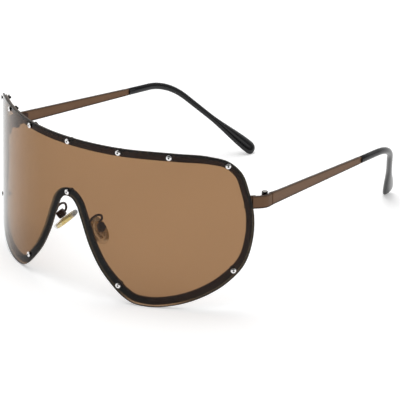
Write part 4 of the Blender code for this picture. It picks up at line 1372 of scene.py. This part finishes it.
def tip(label, side):
    """The sleeve, whose dropping run is lengthened until it stands on the floor."""
    floor_height = -PLACE.z
    length = (tip_start()[-1].z - floor_height) / -DOWN.z
    for _ in range(3):
        line, end = tip_line(length)
        rings = tip_rings(line, distances_left(line, end))
        low = min(p.z for ring in rings for p in ring)
        length -= (floor_height - low) / -DOWN.z
    rings = set_down(rings + [[end]])
    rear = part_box("temple_tip_" + label)[1].y
    for p in [p for ring in rings for p in ring]:
        p.y = min(p.y, rear)
    piece = solid("temple_sleeve_" + label, *skin(rings), None, side, 60)
    fit(piece, "temple_" + label, "dark_plastic", (tip_plastic,), "temple_tip_" + label)


for label, side in SIDES:
    tip(label, side)

# %% [markdown]
# ## Hinge screws
#
# The pin of each hinge has a round head with a shallow dished top, painted paler as a painted
# highlight where light from above would catch it. It is another turned piece, so the lathe makes it
# and the same placing tree sets it.

# %% Hinge screws
HINGE_HEIGHT = 0.0046
HINGE_SCREW_SIZES = {
    "Head Radius": 0.0012, "Head Height": 0.0005, "Pin Radius": 0.0005,
    "Half Height": HINGE_HEIGHT / 2,
}
# radius, height and painted highlight of the head, as shares
HINGE_HEAD = (
    (0.96, 0.0, 0.0), (1.0, 0.1, 0.0), (1.0, 0.7, 0.0), (0.94, 0.9, 0.0), (0.84, 1.0, 0.0),
    (0.74, 1.0, 0.2), (0.68, 0.8, 1.0), (0.0, 0.7, 1.0),
)


def hinge_screw_profile(radius, height, pin, half_height):
    low = -half_height
    seat = half_height + SEAT_GAP
    rows = [(0.0, low, 0.0), (pin * 0.8, low, 0.0), (pin, low + pin * 0.4, 0.0), (pin, seat, 0.0)]
    return rows + [(radius * r, seat + height * h, shade) for r, h, shade in HINGE_HEAD]


hinge_places = [(HINGE_AXIS * Vector((side, 1, 1)), UP) for _, side in SIDES]
hinge_screws = turned(
    "hinge_pins", hinge_places, HINGE_SCREW_SIZES, hinge_screw_profile, 32, hinge_screw_metal
)
hinge_nodes = ["hinge_screw_" + label for label, _ in SIDES]
fit(hinge_screws, "front", "dark_metal", (hinge_screw_metal,), *hinge_nodes)

# %% [markdown]
# ## Nose pads
#
# A pad is a clear drop-shaped cushion, wider at its foot, that rocks on a small box at the end of
# a bent wire. It is set out from the box's pivot by three directions: down its length, out of its
# face, and along the pivot. Ovals at growing distances out of the pivot are skinned over.

# %% Where a pad stands
PIVOT = Vector((0.0104, 0.0090, 0.0264))  # from the lens's foremost line
PAD_SPLAY = math.radians(49)
PAD_TURN = math.radians(24)
BOX_LENGTH = 0.0034
BOX_DEPTH = 0.0030
BOX_MOUTH = 0.0011

pad_turn = Matrix.Rotation(-PAD_TURN, 3, "Z") @ Matrix.Rotation(-PAD_SPLAY, 3, "Y")
PAD_DOWN = pad_turn @ -UP
PAD_FACE = pad_turn @ -SIDEWAYS
PAD_PIVOT = PAD_DOWN.cross(PAD_FACE)


def pad_point(down, out, across):
    return PIVOT + PAD_DOWN * down + PAD_FACE * out + PAD_PIVOT * across


# %% Nose pads
PAD_LENGTH = 0.0125
PAD_WIDTH = 0.0065
PAD_THICKNESS = 0.0023
PAD_TAPER = 0.16
PAD_SIDES = 48
PAD_BACK = BOX_MOUTH + 0.0005
POCKET = (0.0080, 0.0038)
POCKET_FLOOR = BOX_MOUTH + 0.0015
BACK_EDGE_SHADE = 0.6  # the pad's back is as clear as an oval of this size
GOLD_REACH = (0.0038, 0.0045)  # along the pad, where the plate's gold ends
WALL_SIZES = (0.5, 0.82)  # between these sizes of oval the wall begins
# size of each oval and how far it lies through the thickness
PAD_OVALS = (
    (0.83, 0.0), (0.86, 0.005), (0.915, 0.04), (0.97, 0.12), (0.992, 0.22), (1.0, 0.35),
    (0.988, 0.50), (0.96, 0.65), (0.90, 0.78), (0.82, 0.86), (0.68, 0.925), (0.5, 0.97),
    (0.25, 0.993),
)


def pad_oval(length, width, out):
    ring = []
    for a, b in oval(length, width, PAD_SIDES):
        ring.append(pad_point(a, out, b * (1 + PAD_TAPER * 2 * a / length)))
    return ring


def wall_shades(point, size):
    """How much gold and how much grey a pad's wall shows at a point of an oval."""
    down = (point - PIVOT).dot(PAD_DOWN)
    start, full = WALL_SIZES
    wall = smooth_step((size - start) / (full - start))
    near, gone = GOLD_REACH
    gold = 1 - smooth_step((abs(down) - near) / (gone - near))
    grey = smooth_step((-down - near) / (gone - near))
    return gold * wall, grey * wall


def nose_pad(label, side):
    rings = [[pad_point(0, POCKET_FLOOR, 0)]]
    rings += [pad_oval(*POCKET, out) for out in (POCKET_FLOOR, PAD_BACK)]
    sizes = [0, 0, 0]
    for size, share in PAD_OVALS:
        out = PAD_BACK + PAD_THICKNESS * share
        rings.append(pad_oval(PAD_LENGTH * size, PAD_WIDTH * size, out))
        sizes.append(size if share else BACK_EDGE_SHADE)
    rings.append([pad_point(0, PAD_BACK + PAD_THICKNESS, 0)])
    sizes.append(0)
    shades = [wall_shades(p, size) for ring, size in zip(rings, sizes) for p in ring]
    piece = solid("nose_cushion_" + label, *skin(set_down(rings)), None, side, 50)
    for title, values in zip(("gold_seen", "grey_seen"), zip(*shades)):
        keep_numbers(piece.data, title, values)
    fit(piece, "pad_" + label, "clear_silicone", (pad_silicone,), "nose_pad_" + label)


for label, side in SIDES:
    nose_pad(label, side)

# %% [markdown]
# ## Pad arms
#
# Each arm is a piece of wire, soldered to the back of the rim, that swings back and over to the
# top of the box. A wire is the plainest thing that follows a path: the path is a line of points,
# and a tree turns it to a curve and carries a round section along it.

# %% Pad arms
ARM_SIZES = {"Radius": 0.00045, "Sides": 20}
ARM_SHARE = 0.925  # along the half outline, where the wire is soldered on
ARM_BULGE = Vector((0.0004, 0.0038, 0.0030))  # outward, back and up
ARM_STEPS = 12
# share of the straight line, then how much of the bulge: back, up and outward
ARM_ROUTE_SHARES = (
    (0.22, 0.16, 0.62, 0.4), (0.50, 0.40, 0.93, 0.9), (0.80, 0.52, 0.75, 1.0),
    (0.93, 0.40, 0.40, 0.6),
)


def arm_route():
    spot = along(rim_line(0.5), ARM_SHARE)
    foot = on_sheet(spot.x, spot.y, RIM_BACK + SEAT_GAP)
    end = pad_point(-(BOX_LENGTH / 2 + SEAT_GAP), BOX_MOUTH - BOX_DEPTH / 2, 0)
    points = [foot]
    for straight, rear, rise, outward in ARM_ROUTE_SHARES:
        points.append(foot.lerp(end, straight) + ARM_BULGE * Vector((outward, rear, rise)))
    return smooth_curve(points + [end], ARM_STEPS, -out_of_sheet(spot.x), PAD_DOWN)


bench, (path, radius, sides) = new_tree("draw_wire", ARM_SIZES)
path = bench.node("GeometryNodeMeshToCurve", {}, {0: path})
circle = bench.node(
    "GeometryNodeCurvePrimitiveCircle", {}, {"Resolution": sides, "Radius": radius}
)
inputs = {0: path, "Profile Curve": circle, "Fill Caps": True}
draw_wire = finish_tree(bench, bench.node("GeometryNodeCurveToMesh", {}, inputs), hinge_metal)

for label, side in SIDES:
    route = [(p + PLACE) * Vector((side, 1, 1)) for p in arm_route()]
    mesh = bpy.data.meshes.new("arm_path_" + label)
    mesh.from_pydata(route, [(i, i + 1) for i in range(len(route) - 1)], [])
    arm = put("arm_wire_" + label, mesh)
    run_tree(arm, draw_wire, ARM_SIZES)
    print(arm.name, "volume", volume(arm))
    fit(arm, "front", "dark_metal", (hinge_metal,), "pad_arm_" + label)

# %% [markdown]
# ## Small fittings that keep their solids
#
# The hinge leaves and barrels, the pad boxes with their screws and the gilt plates are already the
# right shape as solids, so they stay and only get their finish.

# %% Fittings
KEPT = (
    ("front_hinge_", hinge_metal), ("temple_hinge_", hinge_metal), ("pad_box_", hinge_metal),
    ("pad_insert_", gold_metal), ("pad_screw_", dark_metal),
)
for start, finish in KEPT:
    for label, _ in SIDES:
        for material_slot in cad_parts[start + label].material_slots:
            material_slot.material = finish
print("kept solids", 2 * len(KEPT))
